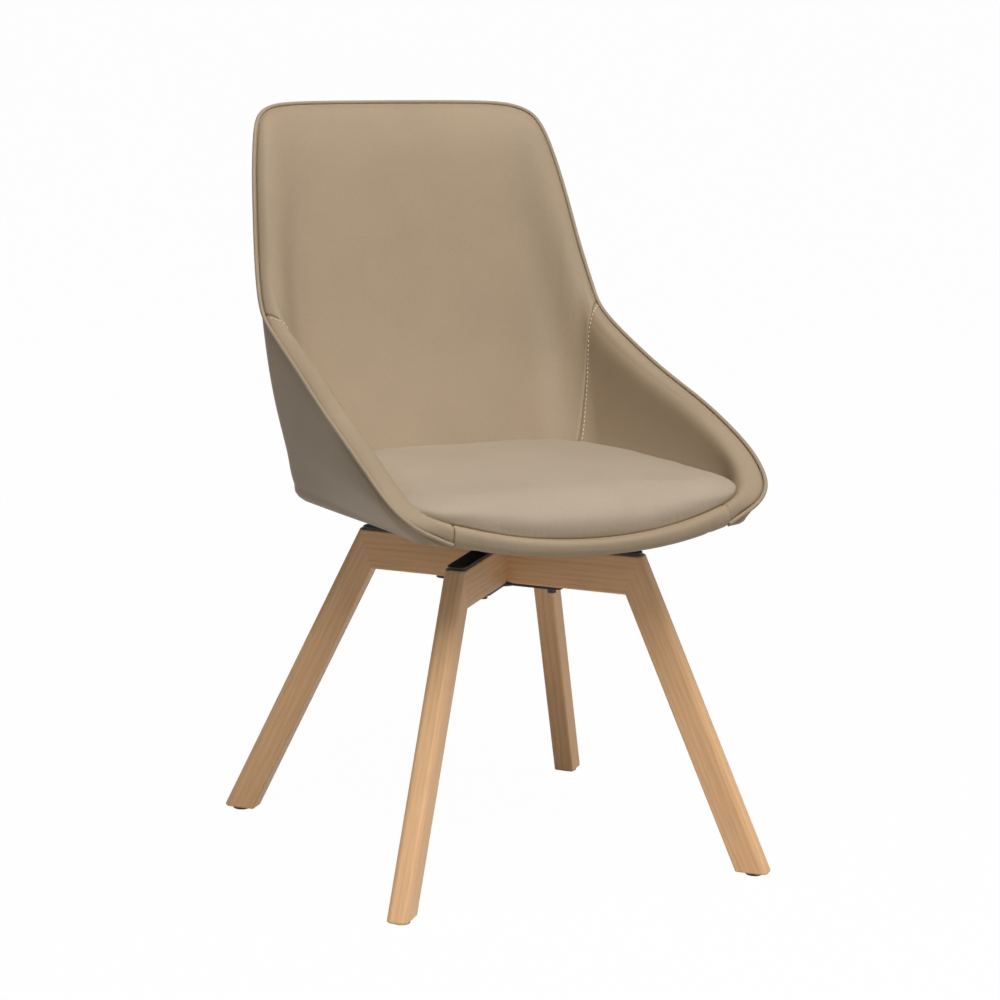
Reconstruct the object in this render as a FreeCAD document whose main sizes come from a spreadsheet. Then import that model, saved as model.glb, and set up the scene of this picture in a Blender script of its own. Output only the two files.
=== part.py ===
import FreeCAD, Part
import Sketcher
import math
import os
import re

# Swivel chair: a leather bucket seat that turns on a ball race over four splayed oak legs.
# The frame has its origin on the floor on the swivel axis, the sitter faces -Y and +Z is up.

V = FreeCAD.Vector

# Driving dimensions, in millimetres
SIZES = {
    # Oak base: legs and rails of one thickness, set on the two diagonals of the seat
    "timber": 25,
    "rail_height": 47,
    "rail_top": 368,
    "corner_reach": 175,
    "foot_reach": 345,
    "leg_width": 39.5,
    "edge_round": 2.2,
    "leg_outer_round": 8,
    "comb_depth": 6,
    "comb_pitch": 6,
    "comb_tip": 1.2,
    # Glides under the feet
    "glide_height": 3,
    "glide_radius": 10.5,
    "glide_round": 0.8,
    "glide_screw_radius": 1.75,
    "glide_screw_length": 22,
    "glide_head_radius": 3.4,
    "glide_head_depth": 1.8,
    "glide_head_recess": 0.6,
    # Steel cross plates above and below the crossing
    "plate_thickness": 3,
    "plate_arm": 22,
    "plate_arm_round": 9,
    "top_plate_reach": 172,
    "top_hub_radius": 55,
    "top_hub_bore": 12,
    "bottom_plate_reach": 78,
    "bottom_hub_radius": 22,
    "bottom_hub_bore": 5,
    # Bolts through plates and rails, and wood screws at the ends of the top plate
    "bolt_ring": 64,
    "bolt_radius": 3,
    "bolt_hole_clearance": 0.2,
    "bolt_flats": 10,
    "bolt_head": 4.2,
    "bolt_tip": 2,
    "washer_radius": 6.5,
    "washer_thickness": 1.5,
    "nut_height": 5,
    "screw_ring": 134,
    "screw_radius": 2,
    "screw_length": 32,
    "screw_head_radius": 4,
    "screw_head_depth": 2.2,
    # Ball swivel between the base and the seat
    "swivel_height": 29,
    "swivel_side": 106,
    "swivel_corner": 12,
    "race_inner": 36,
    "race_outer": 48,
    "race_height": 9,
    "ball_radius": 4,
    "ball_ring": 42,
    "ball_play": 0.08,
    "cage_inner": 37.5,
    "cage_outer": 46.5,
    "cage_thickness": 2,
    "seat_plate_side": 150,
    "seat_plate_corner": 14,
    "seat_bolt_offset": 62,
    "tee_radius": 4,
    "tee_flange_radius": 9,
    "tee_flange": 1.2,
    # Pivot bolt that keeps the two halves of the swivel together
    "pivot_radius": 6,
    "pivot_play": 0.05,
    "pivot_head_radius": 11,
    "pivot_head": 5.3,
    "pivot_lift": 0.2,
    "pivot_tip": 1.2,
    "pivot_nut_flats": 19,
    "pivot_nut_height": 6,
    "pivot_room": 2,
    "bush_wall": 2,
    "bush_flange": 1.5,
    "bush_flange_radius": 10.5,
    # Bucket shell, outer form
    "front_half": 246.5,
    "rear_half": 229,
    "rear_reach": 342,
    "rear_round": 90,
    "front_round": 60,
    "front_reach": 250,
    "front_bow": 700,
    "shell_rise": 470,
    # Bucket shell, cavity in which the sitter sits
    "side_wall": 14.5,
    "rear_side_wall": 31,
    "back_wall": 27,
    "inner_round": 60,
    # Layers of the shell
    "cover": 1.5,
    "core": 8,
    "core_edge": 5,
    "deck_rise": 24,
    # Line of the rim, seen from the side and from the front
    "back_rise": 456,
    "rim_top_setback": 31,
    "top_set_in": 36,
    "top_round": 44,
    "top_bow": 5300,
    "waist_reach": 203.5,
    "waist_rise": 216.6,
    "waist_round": 85,
    "arm_bow": 3000,
    "nose_setback": 50,
    "nose_rise": 70,
    "nose_round": 45,
    "arm_front_setback": 28,
    "arm_front_rise": 40,
    "arm_front_round": 20,
    # Seams between the panels
    "seam_foot_across": 175,
    "seam_foot_reach": 138,
    "seam_top_set_in": 2,
    "seam_top_setback": 8.5,
    "band_half": 179,
    "band_wrap": 50,
    "back_panel_half": 140,
    "piping_radius": 2.3,
    "piping_gap": 0.5,
    # Loose seat cushion
    "cushion_side_room": 16.2,
    "cushion_rear_side_room": 4.2,
    "cushion_rear_room": 1.1,
    "cushion_round": 60,
    "cushion_front_round": 36,
    "cushion_front_setback": 6,
    "cushion_bow": 400,
    "cushion_height": 46,
    "cushion_gap": 0.3,
    # Overrun of every cutting shape
    "overrun": 50,
}
BALL_COUNT = 14
COMB_TIPS = 3

doc = FreeCAD.newDocument("swivel_chair")
sheet = doc.addObject("Spreadsheet::Sheet", "Sizes")
for row, (name, value) in enumerate(SIZES.items(), start=1):
    sheet.set(f"A{row}", name)
    sheet.set(f"B{row}", str(value))
    sheet.setAlias(f"B{row}", name)
doc.recompute()

NAMES = re.compile(r"\b(" + "|".join(SIZES) + r")\b")
NODES = []


def bound(text):
    """An expression of size names, as another object of the document writes it."""
    return NAMES.sub(r"Sizes.\1", str(text))


def amount(text):
    """The present value of an expression of size names."""
    value = sheet.evalExpression(str(text))
    return float(getattr(value, "Value", value))


def bind(thing, **texts):
    """Ties properties of an object to expressions of size names."""
    for key, text in texts.items():
        thing.setExpression(key, bound(text))


def place(thing, x="0", y="0", z="0"):
    """Ties the position of an object to expressions of size names."""
    thing.setExpression("Placement.Base.x", bound(x))
    thing.setExpression("Placement.Base.y", bound(y))
    thing.setExpression("Placement.Base.z", bound(z))


def turned_by(thing, angle):
    """Turns an object about the swivel axis."""
    thing.Placement = FreeCAD.Placement(V(0, 0, 0), FreeCAD.Rotation(V(0, 0, 1), angle))


def node(thing, name):
    """Marks an object as a sub-part of the chair."""
    thing.Label = name
    NODES.append(thing)
    return thing


def new_body(name):
    return doc.addObject("PartDesign::Body", name)


def origin_plane(body, role):
    return next(feature for feature in body.Origin.OriginFeatures if feature.Role == role)


def new_sketch(body, role, across="0", up="0", out="0"):
    """A sketch on an origin plane, moved within it and along its normal."""
    sketch = body.newObject("Sketcher::SketchObject", body.Name + "_sketch")
    sketch.AttachmentSupport = [(origin_plane(body, role), "")]
    sketch.MapMode = "FlatFace"
    sketch.AttachmentOffset = FreeCAD.Placement(V(amount(across), amount(up), amount(out)), FreeCAD.Rotation())
    sketch.setExpression("AttachmentOffset.Base.x", bound(across))
    sketch.setExpression("AttachmentOffset.Base.y", bound(up))
    sketch.setExpression("AttachmentOffset.Base.z", bound(out))
    return sketch


def tie(sketch, kind, text, *places):
    """A dimension of a sketch, tied to an expression."""
    index = sketch.addConstraint(Sketcher.Constraint(kind, *places, amount(text)))
    sketch.setExpression(f"Constraints[{index}]", bound(text))


def bowed(start, end, radius):
    """The arc from start to end that bulges to the right of the way, outwards on a left-handed round."""
    middle = (start + end) / 2
    way = end - start
    rise = math.sqrt(radius * radius - way.Length * way.Length / 4)
    centre = middle + V(-way.y, way.x, 0).normalize() * rise
    first = math.atan2(start.y - centre.y, start.x - centre.x)
    last = math.atan2(end.y - centre.y, end.x - centre.x)
    return Part.ArcOfCircle(Part.Circle(centre, V(0, 0, 1), radius), first, last)


def outline(sketch, corners, bows=None):
    """A closed outline through corners given as pairs of expressions, with bows on some sides."""
    bows = bows or {}
    points = [V(amount(across), amount(up), 0) for across, up in corners]
    count = len(points)
    for side in range(count):
        start = points[side]
        end = points[(side + 1) % count]
        curve = bowed(start, end, amount(bows[side])) if side in bows else Part.LineSegment(start, end)
        sketch.addGeometry(curve, False)
    for side in range(count):
        sketch.addConstraint(Sketcher.Constraint("Coincident", side, 2, (side + 1) % count, 1))
    for side, (across, up) in enumerate(corners):
        tie(sketch, "DistanceX", across, -1, 1, side, 1)
        tie(sketch, "DistanceY", up, -1, 1, side, 1)
    for side, radius in bows.items():
        tie(sketch, "Radius", radius, side)


def ring(sketch, radius, across="0", up="0"):
    """A circle at a place of its sketch."""
    centre = V(amount(across), amount(up), 0)
    index = sketch.addGeometry(Part.Circle(centre, V(0, 0, 1), amount(radius)), False)
    tie(sketch, "DistanceX", across, -1, 1, index, 3)
    tie(sketch, "DistanceY", up, -1, 1, index, 3)
    tie(sketch, "Radius", radius, index)


def pad(body, sketch, length, symmetric=False):
    feature = body.newObject("PartDesign::Pad", body.Name + "_pad")
    feature.Profile = sketch
    feature.Length = amount(length)
    if symmetric:
        feature.SideType = "Symmetric"
    bind(feature, Length=length)
    return feature


def pocket(body, sketch, depth):
    """A pocket that runs both ways from its sketch."""
    feature = body.newObject("PartDesign::Pocket", body.Name + "_pocket")
    feature.Profile = sketch
    feature.SideType = "Symmetric"
    feature.Length = amount(depth)
    bind(feature, Length=depth)
    return feature


def around(body, feature, count):
    """Equally spaced copies of a feature about the swivel axis."""
    pattern = body.newObject("PartDesign::PolarPattern", body.Name + "_pattern")
    pattern.Originals = [feature]
    pattern.Axis = (origin_plane(body, "Z_Axis"), [""])
    pattern.Angle = 360
    pattern.Occurrences = count
    body.Tip = pattern
    return pattern


def rounded(body, feature, radius, wanted):
    """Rounds the edges of a feature that a test picks."""
    doc.recompute()
    names = [f"Edge{i}" for i, edge in enumerate(feature.Shape.Edges, start=1) if wanted(edge)]
    fillet = body.newObject("PartDesign::Fillet", body.Name + "_fillet")
    fillet.Base = (feature, names)
    fillet.Radius = amount(radius)
    bind(fillet, Radius=radius)
    return fillet


def runs_along(edge, direction):
    """Whether an edge is straight and parallel to a direction."""
    if edge.Curve.TypeId != "Part::GeomLine":
        return False
    return edge.Curve.Direction.cross(direction).Length < 1e-6


def turned(name, corners, centre="0", count=1):
    """A body of revolution about an upright axis, with copies about the swivel axis."""
    body = new_body(name)
    sketch = new_sketch(body, "XZ_Plane", across=centre)
    outline(sketch, corners)
    feature = body.newObject("PartDesign::Revolution", name + "_turned")
    feature.Profile = sketch
    feature.ReferenceAxis = (sketch, ["V_Axis"])
    feature.Angle = 360
    if count > 1:
        around(body, feature, count)
    return body


def drum(name, radius, height, x="0", y="0", z="0"):
    """An upright cylinder that stands on a point."""
    solid = doc.addObject("Part::Cylinder", name)
    bind(solid, Radius=radius, Height=height)
    place(solid, x, y, z)
    return solid


def block(name, length, width, height, x, y, z):
    """A box from its lowest corner."""
    solid = doc.addObject("Part::Box", name)
    bind(solid, Length=length, Width=width, Height=height)
    place(solid, x, y, z)
    return solid


def group(name, members):
    together = doc.addObject("Part::Compound", name)
    together.Links = members
    return together


def cut(name, base, tool):
    result = doc.addObject("Part::Cut", name)
    result.Base = base
    result.Tool = tool
    return result


def common(name, base, tool):
    result = doc.addObject("Part::Common", name)
    result.Base = base
    result.Tool = tool
    return result


# Heights and slopes that several pieces share
LEG_SLOPE = "((foot_reach - corner_reach) / rail_top)"
RAIL_FOOT = "(rail_top - rail_height)"
PLATE_TOP = "(rail_top + plate_thickness)"
SHELL_FLOOR = "(rail_top + plate_thickness + swivel_height)"
FOOT_CENTRE = f"(foot_reach - glide_height * {LEG_SLOPE} - leg_width / 2)"
INNER_HALF = "(front_half - side_wall)"
INNER_REAR_HALF = "(rear_half - rear_side_wall)"
INNER_REACH = "(rear_reach - back_wall)"
RIM_TOP_REACH = "(rear_reach - rim_top_setback)"
TOP_HALF = "(rear_half - top_set_in)"
NOSE_REACH = "(front_reach - nose_setback)"
ARM_FRONT_REACH = "(front_reach - arm_front_setback)"
DIAGONALS = {"front_right": -45, "rear_right": 45, "rear_left": 135, "front_left": 225}


# Leg and rail stock, drawn on the upright plane of one diagonal with the thickness across it
def timber_stock(name, corners, small_rounds=None):
    """A length of timber; small rounds stand for a test that picks edges, once the outer ones are done."""
    body = new_body(name)
    sketch = new_sketch(body, "XZ_Plane")
    outline(sketch, corners)
    blank = pad(body, sketch, "timber", symmetric=True)
    if small_rounds:
        eased = rounded(body, blank, "leg_outer_round", is_outer_edge)
        rounded(body, eased, "edge_round", small_rounds)
    return body


def leg_line(height, offset="0"):
    """The corner of a leg's outer or inner face at a height."""
    return (f"foot_reach - ({height}) * {LEG_SLOPE} - {offset}", height)


def is_level(edge):
    return runs_along(edge, V(1, 0, 0))


def is_upright(edge, offset):
    """Whether an edge runs down the legs' outer face, or down a plane set in from it."""
    reach = amount(leg_line(edge.CenterOfMass.z, offset)[0])
    along = edge.Curve.TypeId == "Part::GeomLine" and not is_level(edge) and not runs_along(edge, V(0, 1, 0))
    return along and abs(abs(edge.CenterOfMass.x) - reach) < 1e-3


def is_outer_edge(edge):
    """The long edges of a leg's outer face, and the ends of the rails in line with them."""
    return is_upright(edge, "0")


def is_small_leg_edge(edge):
    """The long edges of a leg's inner face, and all the edges of its foot."""
    return is_upright(edge, "leg_width") or edge.CenterOfMass.z < amount("glide_height") + 1e-3


leg_corners = [
    leg_line("glide_height", "leg_width"),
    leg_line("glide_height"),
    leg_line("rail_top"),
    leg_line("rail_top", "leg_width"),
]
leg_sharp = timber_stock("leg_sharp", leg_corners)
leg_stock = timber_stock("leg_stock", leg_corners, is_small_leg_edge)
rail_stock = timber_stock("rail_stock", [
    (f"-corner_reach - rail_height * {LEG_SLOPE}", RAIL_FOOT),
    (f"corner_reach + rail_height * {LEG_SLOPE}", RAIL_FOOT),
    ("corner_reach", "rail_top"),
    ("-corner_reach", "rail_top"),
], is_level)


# Comb joint: a row of tapered fingers across the mitre, with plain shoulders at both sides
def comb_corners():
    side = "timber / 2 + edge_round"
    corners = [("rail_height", f"-({side})"), ("rail_height", side), ("0", side)]
    corners.append(("0", f"{COMB_TIPS / 2} * comb_pitch"))
    for tip in reversed(range(COMB_TIPS)):
        middle = f"{tip - (COMB_TIPS - 1) / 2} * comb_pitch"
        corners.append(("comb_depth", f"{middle} + comb_tip / 2"))
        corners.append(("comb_depth", f"{middle} - comb_tip / 2"))
        if tip:
            corners.append(("-comb_depth", f"{middle} - (comb_pitch - comb_tip) / 2"))
            corners.append(("-comb_depth", f"{middle} - (comb_pitch + comb_tip) / 2"))
    corners.append(("0", f"-{COMB_TIPS / 2} * comb_pitch"))
    corners.append(("0", f"-({side})"))
    return corners


comb = new_body("comb")
comb_sketch = new_sketch(comb, "XY_Plane")
outline(comb_sketch, comb_corners())
pad(comb, comb_sketch, "rail_height * 3", symmetric=True)
mitre_angle = amount(f"atan((leg_width - rail_height * {LEG_SLOPE}) / rail_height)")
comb.Placement = FreeCAD.Placement(
    V(amount("corner_reach"), 0, amount("rail_top")), FreeCAD.Rotation(V(0, 1, 0), mitre_angle))

# The comb takes the leg's end out of the rail; below the rail the leg is whole
leg_end = common("leg_end", leg_sharp, comb)
leg_end_behind = common("leg_end_behind", leg_sharp, comb)
turned_by(leg_end_behind, 180)
rail_blank = cut("rail_blank", rail_stock, group("leg_ends", [leg_end, leg_end_behind]))
below_rail = block("below_rail", "foot_reach", "timber + 2 * overrun", f"{RAIL_FOOT} + overrun",
                   "0", "-timber / 2 - overrun", "-overrun")
leg_space = doc.addObject("Part::Fuse", "leg_space")
leg_space.Base = comb
leg_space.Tool = below_rail
pilot = drum("pilot", "glide_screw_radius", "glide_screw_length", FOOT_CENTRE)
drilled_leg = cut("drilled_leg", leg_stock, pilot)
for corner, angle in DIAGONALS.items():
    leg = node(common(f"leg_{corner}", drilled_leg, leg_space), f"leg_{corner}")
    turned_by(leg, angle)


# Cross rails: halved into each other, bolted through, with pilot holes for the plate's screws
def rail_holes(name, sides=("", "-")):
    bolts = [drum(f"{name}_bolt_hole", "bolt_radius + bolt_hole_clearance", "rail_height + 2 * overrun",
                  f"{side}bolt_ring", z=f"{RAIL_FOOT} - overrun") for side in sides]
    screws = [drum(f"{name}_screw_hole", "screw_radius", "screw_length",
                   f"{side}screw_ring", z=f"{PLATE_TOP} - screw_length") for side in sides]
    return bolts + screws


def halving(name, foot):
    return block(name, "timber", "timber + 2 * overrun", "rail_height",
                 "-timber / 2", "-timber / 2 - overrun", foot)


nut_room = drum("nut_room", "top_hub_bore", "pivot_nut_height + pivot_tip",
                z=f"{PLATE_TOP} - pivot_nut_height - pivot_tip")
upper_rail = cut("cross_rail_upper", rail_blank, group("upper_rail_cuts", [
    halving("upper_halving", "rail_top - rail_height * 1.5"), nut_room, *rail_holes("upper_rail")]))
lower_rail = cut("cross_rail_lower", rail_blank, group("lower_rail_cuts", [
    halving("lower_halving", "rail_top - rail_height / 2"), *rail_holes("lower_rail")]))
turned_by(node(upper_rail, "cross_rail_upper"), 45)
turned_by(node(lower_rail, "cross_rail_lower"), 135)

# Glides: nylon discs under the feet, each held by a countersunk screw
CONE_TOP = "(glide_head_recess + glide_head_depth)"
for corner, angle in DIAGONALS.items():
    glide = turned(f"foot_glide_{corner}", [
        ("glide_head_radius", "0"),
        ("glide_radius - glide_round", "0"),
        ("glide_radius", "glide_round"),
        ("glide_radius", "glide_height"),
        ("glide_screw_radius", "glide_height"),
        ("glide_screw_radius", CONE_TOP),
        ("glide_head_radius", "glide_head_recess"),
    ], FOOT_CENTRE)
    turned_by(node(glide, f"foot_glide_{corner}"), angle)
glide_screws = turned("glide_screws", [
    ("0", "glide_head_recess"),
    ("glide_head_radius", "glide_head_recess"),
    ("glide_screw_radius", CONE_TOP),
    ("glide_screw_radius", "glide_screw_length - glide_screw_radius"),
    ("0", "glide_screw_length"),
], FOOT_CENTRE, len(DIAGONALS))
turned_by(node(glide_screws, "glide_screws"), 45)


# Cross plates: four arms round a hub, over and under the crossing of the rails
def cross_plate(name, foot, reach, hub_radius, bore):
    body = new_body(name)
    arms = new_sketch(body, "XY_Plane", out=foot)
    outline(arms, [(f"-({reach})", "-plate_arm / 2"), (reach, "-plate_arm / 2"),
                   (reach, "plate_arm / 2"), (f"-({reach})", "plate_arm / 2")])
    bar = pad(body, arms, "plate_thickness")
    cross = around(body, bar, len(DIAGONALS))
    disc = new_sketch(body, "XY_Plane", out=foot)
    ring(disc, hub_radius)
    hub = pad(body, disc, "plate_thickness")
    tip = amount(reach) - 1e-6
    ends = rounded(body, hub, "plate_arm_round", lambda edge: runs_along(edge, V(0, 0, 1))
                   and math.hypot(edge.CenterOfMass.x, edge.CenterOfMass.y) > tip)
    centre = new_sketch(body, "XY_Plane", out=foot)
    ring(centre, bore)
    pocket(body, centre, "4 * plate_thickness")
    bolt = new_sketch(body, "XY_Plane", out=foot)
    ring(bolt, "bolt_radius + bolt_hole_clearance", "bolt_ring")
    around(body, pocket(body, bolt, "4 * plate_thickness"), len(DIAGONALS))
    turned_by(body, 45)
    return body


top_blank = cross_plate("top_plate_blank", "rail_top", "top_plate_reach", "top_hub_radius", "top_hub_bore")
HEAD_FOOT = f"({PLATE_TOP} - screw_head_depth)"
screw_profile = [
    ("0", f"{PLATE_TOP} - screw_length"),
    ("screw_radius", f"{PLATE_TOP} - screw_length + screw_radius"),
    ("screw_radius", HEAD_FOOT),
    ("screw_head_radius", PLATE_TOP),
    ("0", PLATE_TOP),
]
wood_screws = turned("plate_wood_screws", screw_profile, "screw_ring", len(DIAGONALS))
turned_by(node(wood_screws, "plate_wood_screws"), 45)
node(cut("top_cross_plate", top_blank, wood_screws), "top_cross_plate")
node(cross_plate("bottom_cross_plate", f"{RAIL_FOOT} - plate_thickness", "bottom_plate_reach",
                 "bottom_hub_radius", "bottom_hub_bore"), "bottom_cross_plate")


# Hexagon fasteners
def hexagon(body, flats, foot, height, centre="0"):
    sketch = new_sketch(body, "XY_Plane", across=centre, out=foot)
    outline(sketch, [(f"({flats}) / sqrt(3) * cos({60 * k} deg)", f"({flats}) / sqrt(3) * sin({60 * k} deg)")
                     for k in range(6)])
    return pad(body, sketch, height)


def shank(body, radius, foot, height, centre="0"):
    sketch = new_sketch(body, "XY_Plane", across=centre, out=foot)
    ring(sketch, radius)
    return pad(body, sketch, height)


def ring_of(body, features):
    """Four copies of several features about the swivel axis."""
    pattern = around(body, features[0], len(DIAGONALS))
    pattern.Originals = features
    return pattern


WASHER_FOOT = f"({RAIL_FOOT} - plate_thickness - washer_thickness)"
NUT_FOOT = f"({PLATE_TOP} + plate_thickness)"
frame_bolts = new_body("frame_bolts")
bolt_parts = [
    hexagon(frame_bolts, "bolt_flats", f"{WASHER_FOOT} - bolt_head", "bolt_head", "bolt_ring"),
    shank(frame_bolts, "bolt_radius", WASHER_FOOT, f"{NUT_FOOT} + nut_height + bolt_tip - {WASHER_FOOT}", "bolt_ring"),
]
ring_of(frame_bolts, bolt_parts)
turned_by(node(frame_bolts, "frame_bolts"), 45)
frame_washers = turned("frame_washers", [
    ("bolt_radius", WASHER_FOOT),
    ("washer_radius", WASHER_FOOT),
    ("washer_radius", f"{WASHER_FOOT} + washer_thickness"),
    ("bolt_radius", f"{WASHER_FOOT} + washer_thickness"),
], "bolt_ring", len(DIAGONALS))
turned_by(node(frame_washers, "frame_washers"), 45)
frame_nuts = new_body("frame_nuts")
nut = hexagon(frame_nuts, "bolt_flats", NUT_FOOT, "nut_height", "bolt_ring")
around(frame_nuts, nut, len(DIAGONALS))
nut_bore = new_sketch(frame_nuts, "XY_Plane", across="bolt_ring", out=NUT_FOOT)
ring(nut_bore, "bolt_radius")
around(frame_nuts, pocket(frame_nuts, nut_bore, "4 * nut_height"), len(DIAGONALS))
turned_by(node(frame_nuts, "frame_nuts"), 45)


# Ball swivel: two square plates with grooved rings, a caged ring of balls between them
def square_plate(name, side, corner, foot):
    body = new_body(name)
    sketch = new_sketch(body, "XY_Plane", out=foot)
    half = f"{side} / 2"
    outline(sketch, [(f"-{half}", f"-{half}"), (half, f"-{half}"), (half, half), (f"-{half}", half)])
    plate = pad(body, sketch, "plate_thickness")
    rounded(body, plate, corner, lambda edge: runs_along(edge, V(0, 0, 1)))
    return body


def race_ring(body, foot):
    sketch = new_sketch(body, "XY_Plane", out=foot)
    ring(sketch, "race_outer")
    ring(sketch, "race_inner")
    pad(body, sketch, "race_height")
    track = new_sketch(body, "XZ_Plane")
    ring(track, "ball_radius + ball_play", "ball_ring", BALL_HEIGHT)
    groove = body.newObject("PartDesign::Groove", body.Name + "_track")
    groove.Profile = track
    groove.ReferenceAxis = (track, ["V_Axis"])
    groove.Angle = 360


def bored(body, radius, foot, across="0", up="0", count=1):
    sketch = new_sketch(body, "XY_Plane", out=foot)
    ring(sketch, radius, across, up)
    hole = pocket(body, sketch, "4 * plate_thickness")
    if count > 1:
        around(body, hole, count)


SEAT_PLATE_FOOT = f"({SHELL_FLOOR} - plate_thickness)"
BALL_HEIGHT = f"({PLATE_TOP} + swivel_height / 2)"
DIAGONAL_BOLT = "(bolt_ring * sqrt(0.5))"
lower_plate = square_plate("swivel_lower_plate", "swivel_side", "swivel_corner", PLATE_TOP)
race_ring(lower_plate, f"{PLATE_TOP} + plate_thickness")
bored(lower_plate, "pivot_radius", PLATE_TOP)
bored(lower_plate, "bolt_radius + bolt_hole_clearance", PLATE_TOP, DIAGONAL_BOLT, DIAGONAL_BOLT, 4)
node(lower_plate, "swivel_lower_plate")

upper_plate = square_plate("swivel_upper_plate", "seat_plate_side", "seat_plate_corner", SEAT_PLATE_FOOT)
race_ring(upper_plate, f"{SEAT_PLATE_FOOT} - race_height")
bored(upper_plate, "pivot_radius + pivot_play + bush_wall", SEAT_PLATE_FOOT)
bored(upper_plate, "bolt_radius + bolt_hole_clearance", SEAT_PLATE_FOOT, "seat_bolt_offset", "seat_bolt_offset", 4)
node(upper_plate, "swivel_upper_plate")

balls = new_body("swivel_balls")
half_disc = new_sketch(balls, "XZ_Plane", across="ball_ring", up=BALL_HEIGHT)
half_disc.addGeometry(Part.ArcOfCircle(Part.Circle(V(0, 0, 0), V(0, 0, 1), amount("ball_radius")),
                                       -math.pi / 2, math.pi / 2), False)
half_disc.addGeometry(Part.LineSegment(V(0, amount("ball_radius"), 0), V(0, -amount("ball_radius"), 0)), False)
half_disc.addConstraint(Sketcher.Constraint("Coincident", 0, 2, 1, 1))
half_disc.addConstraint(Sketcher.Constraint("Coincident", 0, 1, 1, 2))
half_disc.addConstraint(Sketcher.Constraint("Coincident", 0, 3, -1, 1))
half_disc.addConstraint(Sketcher.Constraint("PointOnObject", 1, 1, -2))
half_disc.addConstraint(Sketcher.Constraint("PointOnObject", 1, 2, -2))
tie(half_disc, "Radius", "ball_radius", 0)
ball = balls.newObject("PartDesign::Revolution", "ball")
ball.Profile = half_disc
ball.ReferenceAxis = (half_disc, ["V_Axis"])
ball.Angle = 360
around(balls, ball, BALL_COUNT)
node(balls, "swivel_balls")

cage = new_body("ball_cage")
cage_ring = new_sketch(cage, "XY_Plane", out=f"{BALL_HEIGHT} - cage_thickness / 2")
ring(cage_ring, "cage_outer")
ring(cage_ring, "cage_inner")
pad(cage, cage_ring, "cage_thickness")
pocket_ring = new_sketch(cage, "XY_Plane", out=BALL_HEIGHT)
ring(pocket_ring, "ball_radius + ball_play", "ball_ring")
around(cage, pocket(cage, pocket_ring, "2 * cage_thickness"), BALL_COUNT)
node(cage, "ball_cage")

# Pivot: a bolt fixed in the lower plate, on which the bushed upper plate turns
BUSH_TOP = f"({SHELL_FLOOR} + bush_flange)"
PIVOT_HEAD_FOOT = f"({BUSH_TOP} + pivot_lift)"
PIVOT_FOOT = f"({PLATE_TOP} - pivot_nut_height - pivot_tip)"
node(turned("pivot_bolt", [
    ("0", PIVOT_FOOT),
    ("pivot_radius", PIVOT_FOOT),
    ("pivot_radius", PIVOT_HEAD_FOOT),
    ("pivot_head_radius", PIVOT_HEAD_FOOT),
    ("pivot_head_radius", f"{PIVOT_HEAD_FOOT} + pivot_head / 2"),
    ("pivot_radius", f"{PIVOT_HEAD_FOOT} + pivot_head"),
    ("0", f"{PIVOT_HEAD_FOOT} + pivot_head"),
]), "pivot_bolt")
pivot_nut = new_body("pivot_nut")
hexagon(pivot_nut, "pivot_nut_flats", f"{PLATE_TOP} - pivot_nut_height", "pivot_nut_height")
nut_thread = new_sketch(pivot_nut, "XY_Plane", out=PLATE_TOP)
ring(nut_thread, "pivot_radius")
pocket(pivot_nut, nut_thread, "4 * pivot_nut_height")
node(pivot_nut, "pivot_nut")
BUSH_BORE = "pivot_radius + pivot_play"
node(turned("pivot_bush", [
    (BUSH_BORE, SEAT_PLATE_FOOT),
    (f"{BUSH_BORE} + bush_wall", SEAT_PLATE_FOOT),
    (f"{BUSH_BORE} + bush_wall", SHELL_FLOOR),
    ("bush_flange_radius", SHELL_FLOOR),
    ("bush_flange_radius", BUSH_TOP),
    (BUSH_BORE, BUSH_TOP),
]), "pivot_bush")

# Seat bolts and tee nuts that hold the shell to the upper plate
CORE_TOP = f"({SHELL_FLOOR} + cover + core)"
SEAT_BOLT_RING = "(seat_bolt_offset * sqrt(2))"
seat_bolts = new_body("seat_bolts")
seat_bolt_parts = [
    hexagon(seat_bolts, "bolt_flats", f"{SEAT_PLATE_FOOT} - bolt_head", "bolt_head", SEAT_BOLT_RING),
    shank(seat_bolts, "bolt_radius", SEAT_PLATE_FOOT, f"{CORE_TOP} + tee_flange - {SEAT_PLATE_FOOT}", SEAT_BOLT_RING),
]
ring_of(seat_bolts, seat_bolt_parts)
turned_by(node(seat_bolts, "seat_bolts"), 45)
tee_nuts = turned("seat_tee_nuts", [
    ("bolt_radius", f"{SHELL_FLOOR} + cover"),
    ("tee_radius", f"{SHELL_FLOOR} + cover"),
    ("tee_radius", CORE_TOP),
    ("tee_flange_radius", CORE_TOP),
    ("tee_flange_radius", f"{CORE_TOP} + tee_flange"),
    ("bolt_radius", f"{CORE_TOP} + tee_flange"),
], SEAT_BOLT_RING, 4)
turned_by(node(tee_nuts, "seat_tee_nuts"), 45)

# Levels of the outer form from the floor of the shell up, as shares of its sizes: height, front and
# rear half width, rear reach, rear rounding, front rounding, front reach
OUTER_LEVEL_SHARES = [
    (0.0, 0.61, 0.83, 0.455, 0.75, 0.30, 0.96),
    (0.055, 0.852, 0.935, 0.525, 0.85, 0.33, 0.985),
    (0.13, 0.989, 0.965, 0.580, 1.0, 0.50, 1.0),
    (0.26, 1.0, 0.985, 0.680, 1.0, 0.90, 1.0),
    (0.46, 0.975, 1.0, 0.780, 1.0, 1.0, 1.0),
    (0.72, 0.94, 0.985, 0.888, 1.0, 1.0, 1.0),
    (1.0, 0.89, 0.925, 1.0, 1.0, 1.0, 1.0),
]
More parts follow.
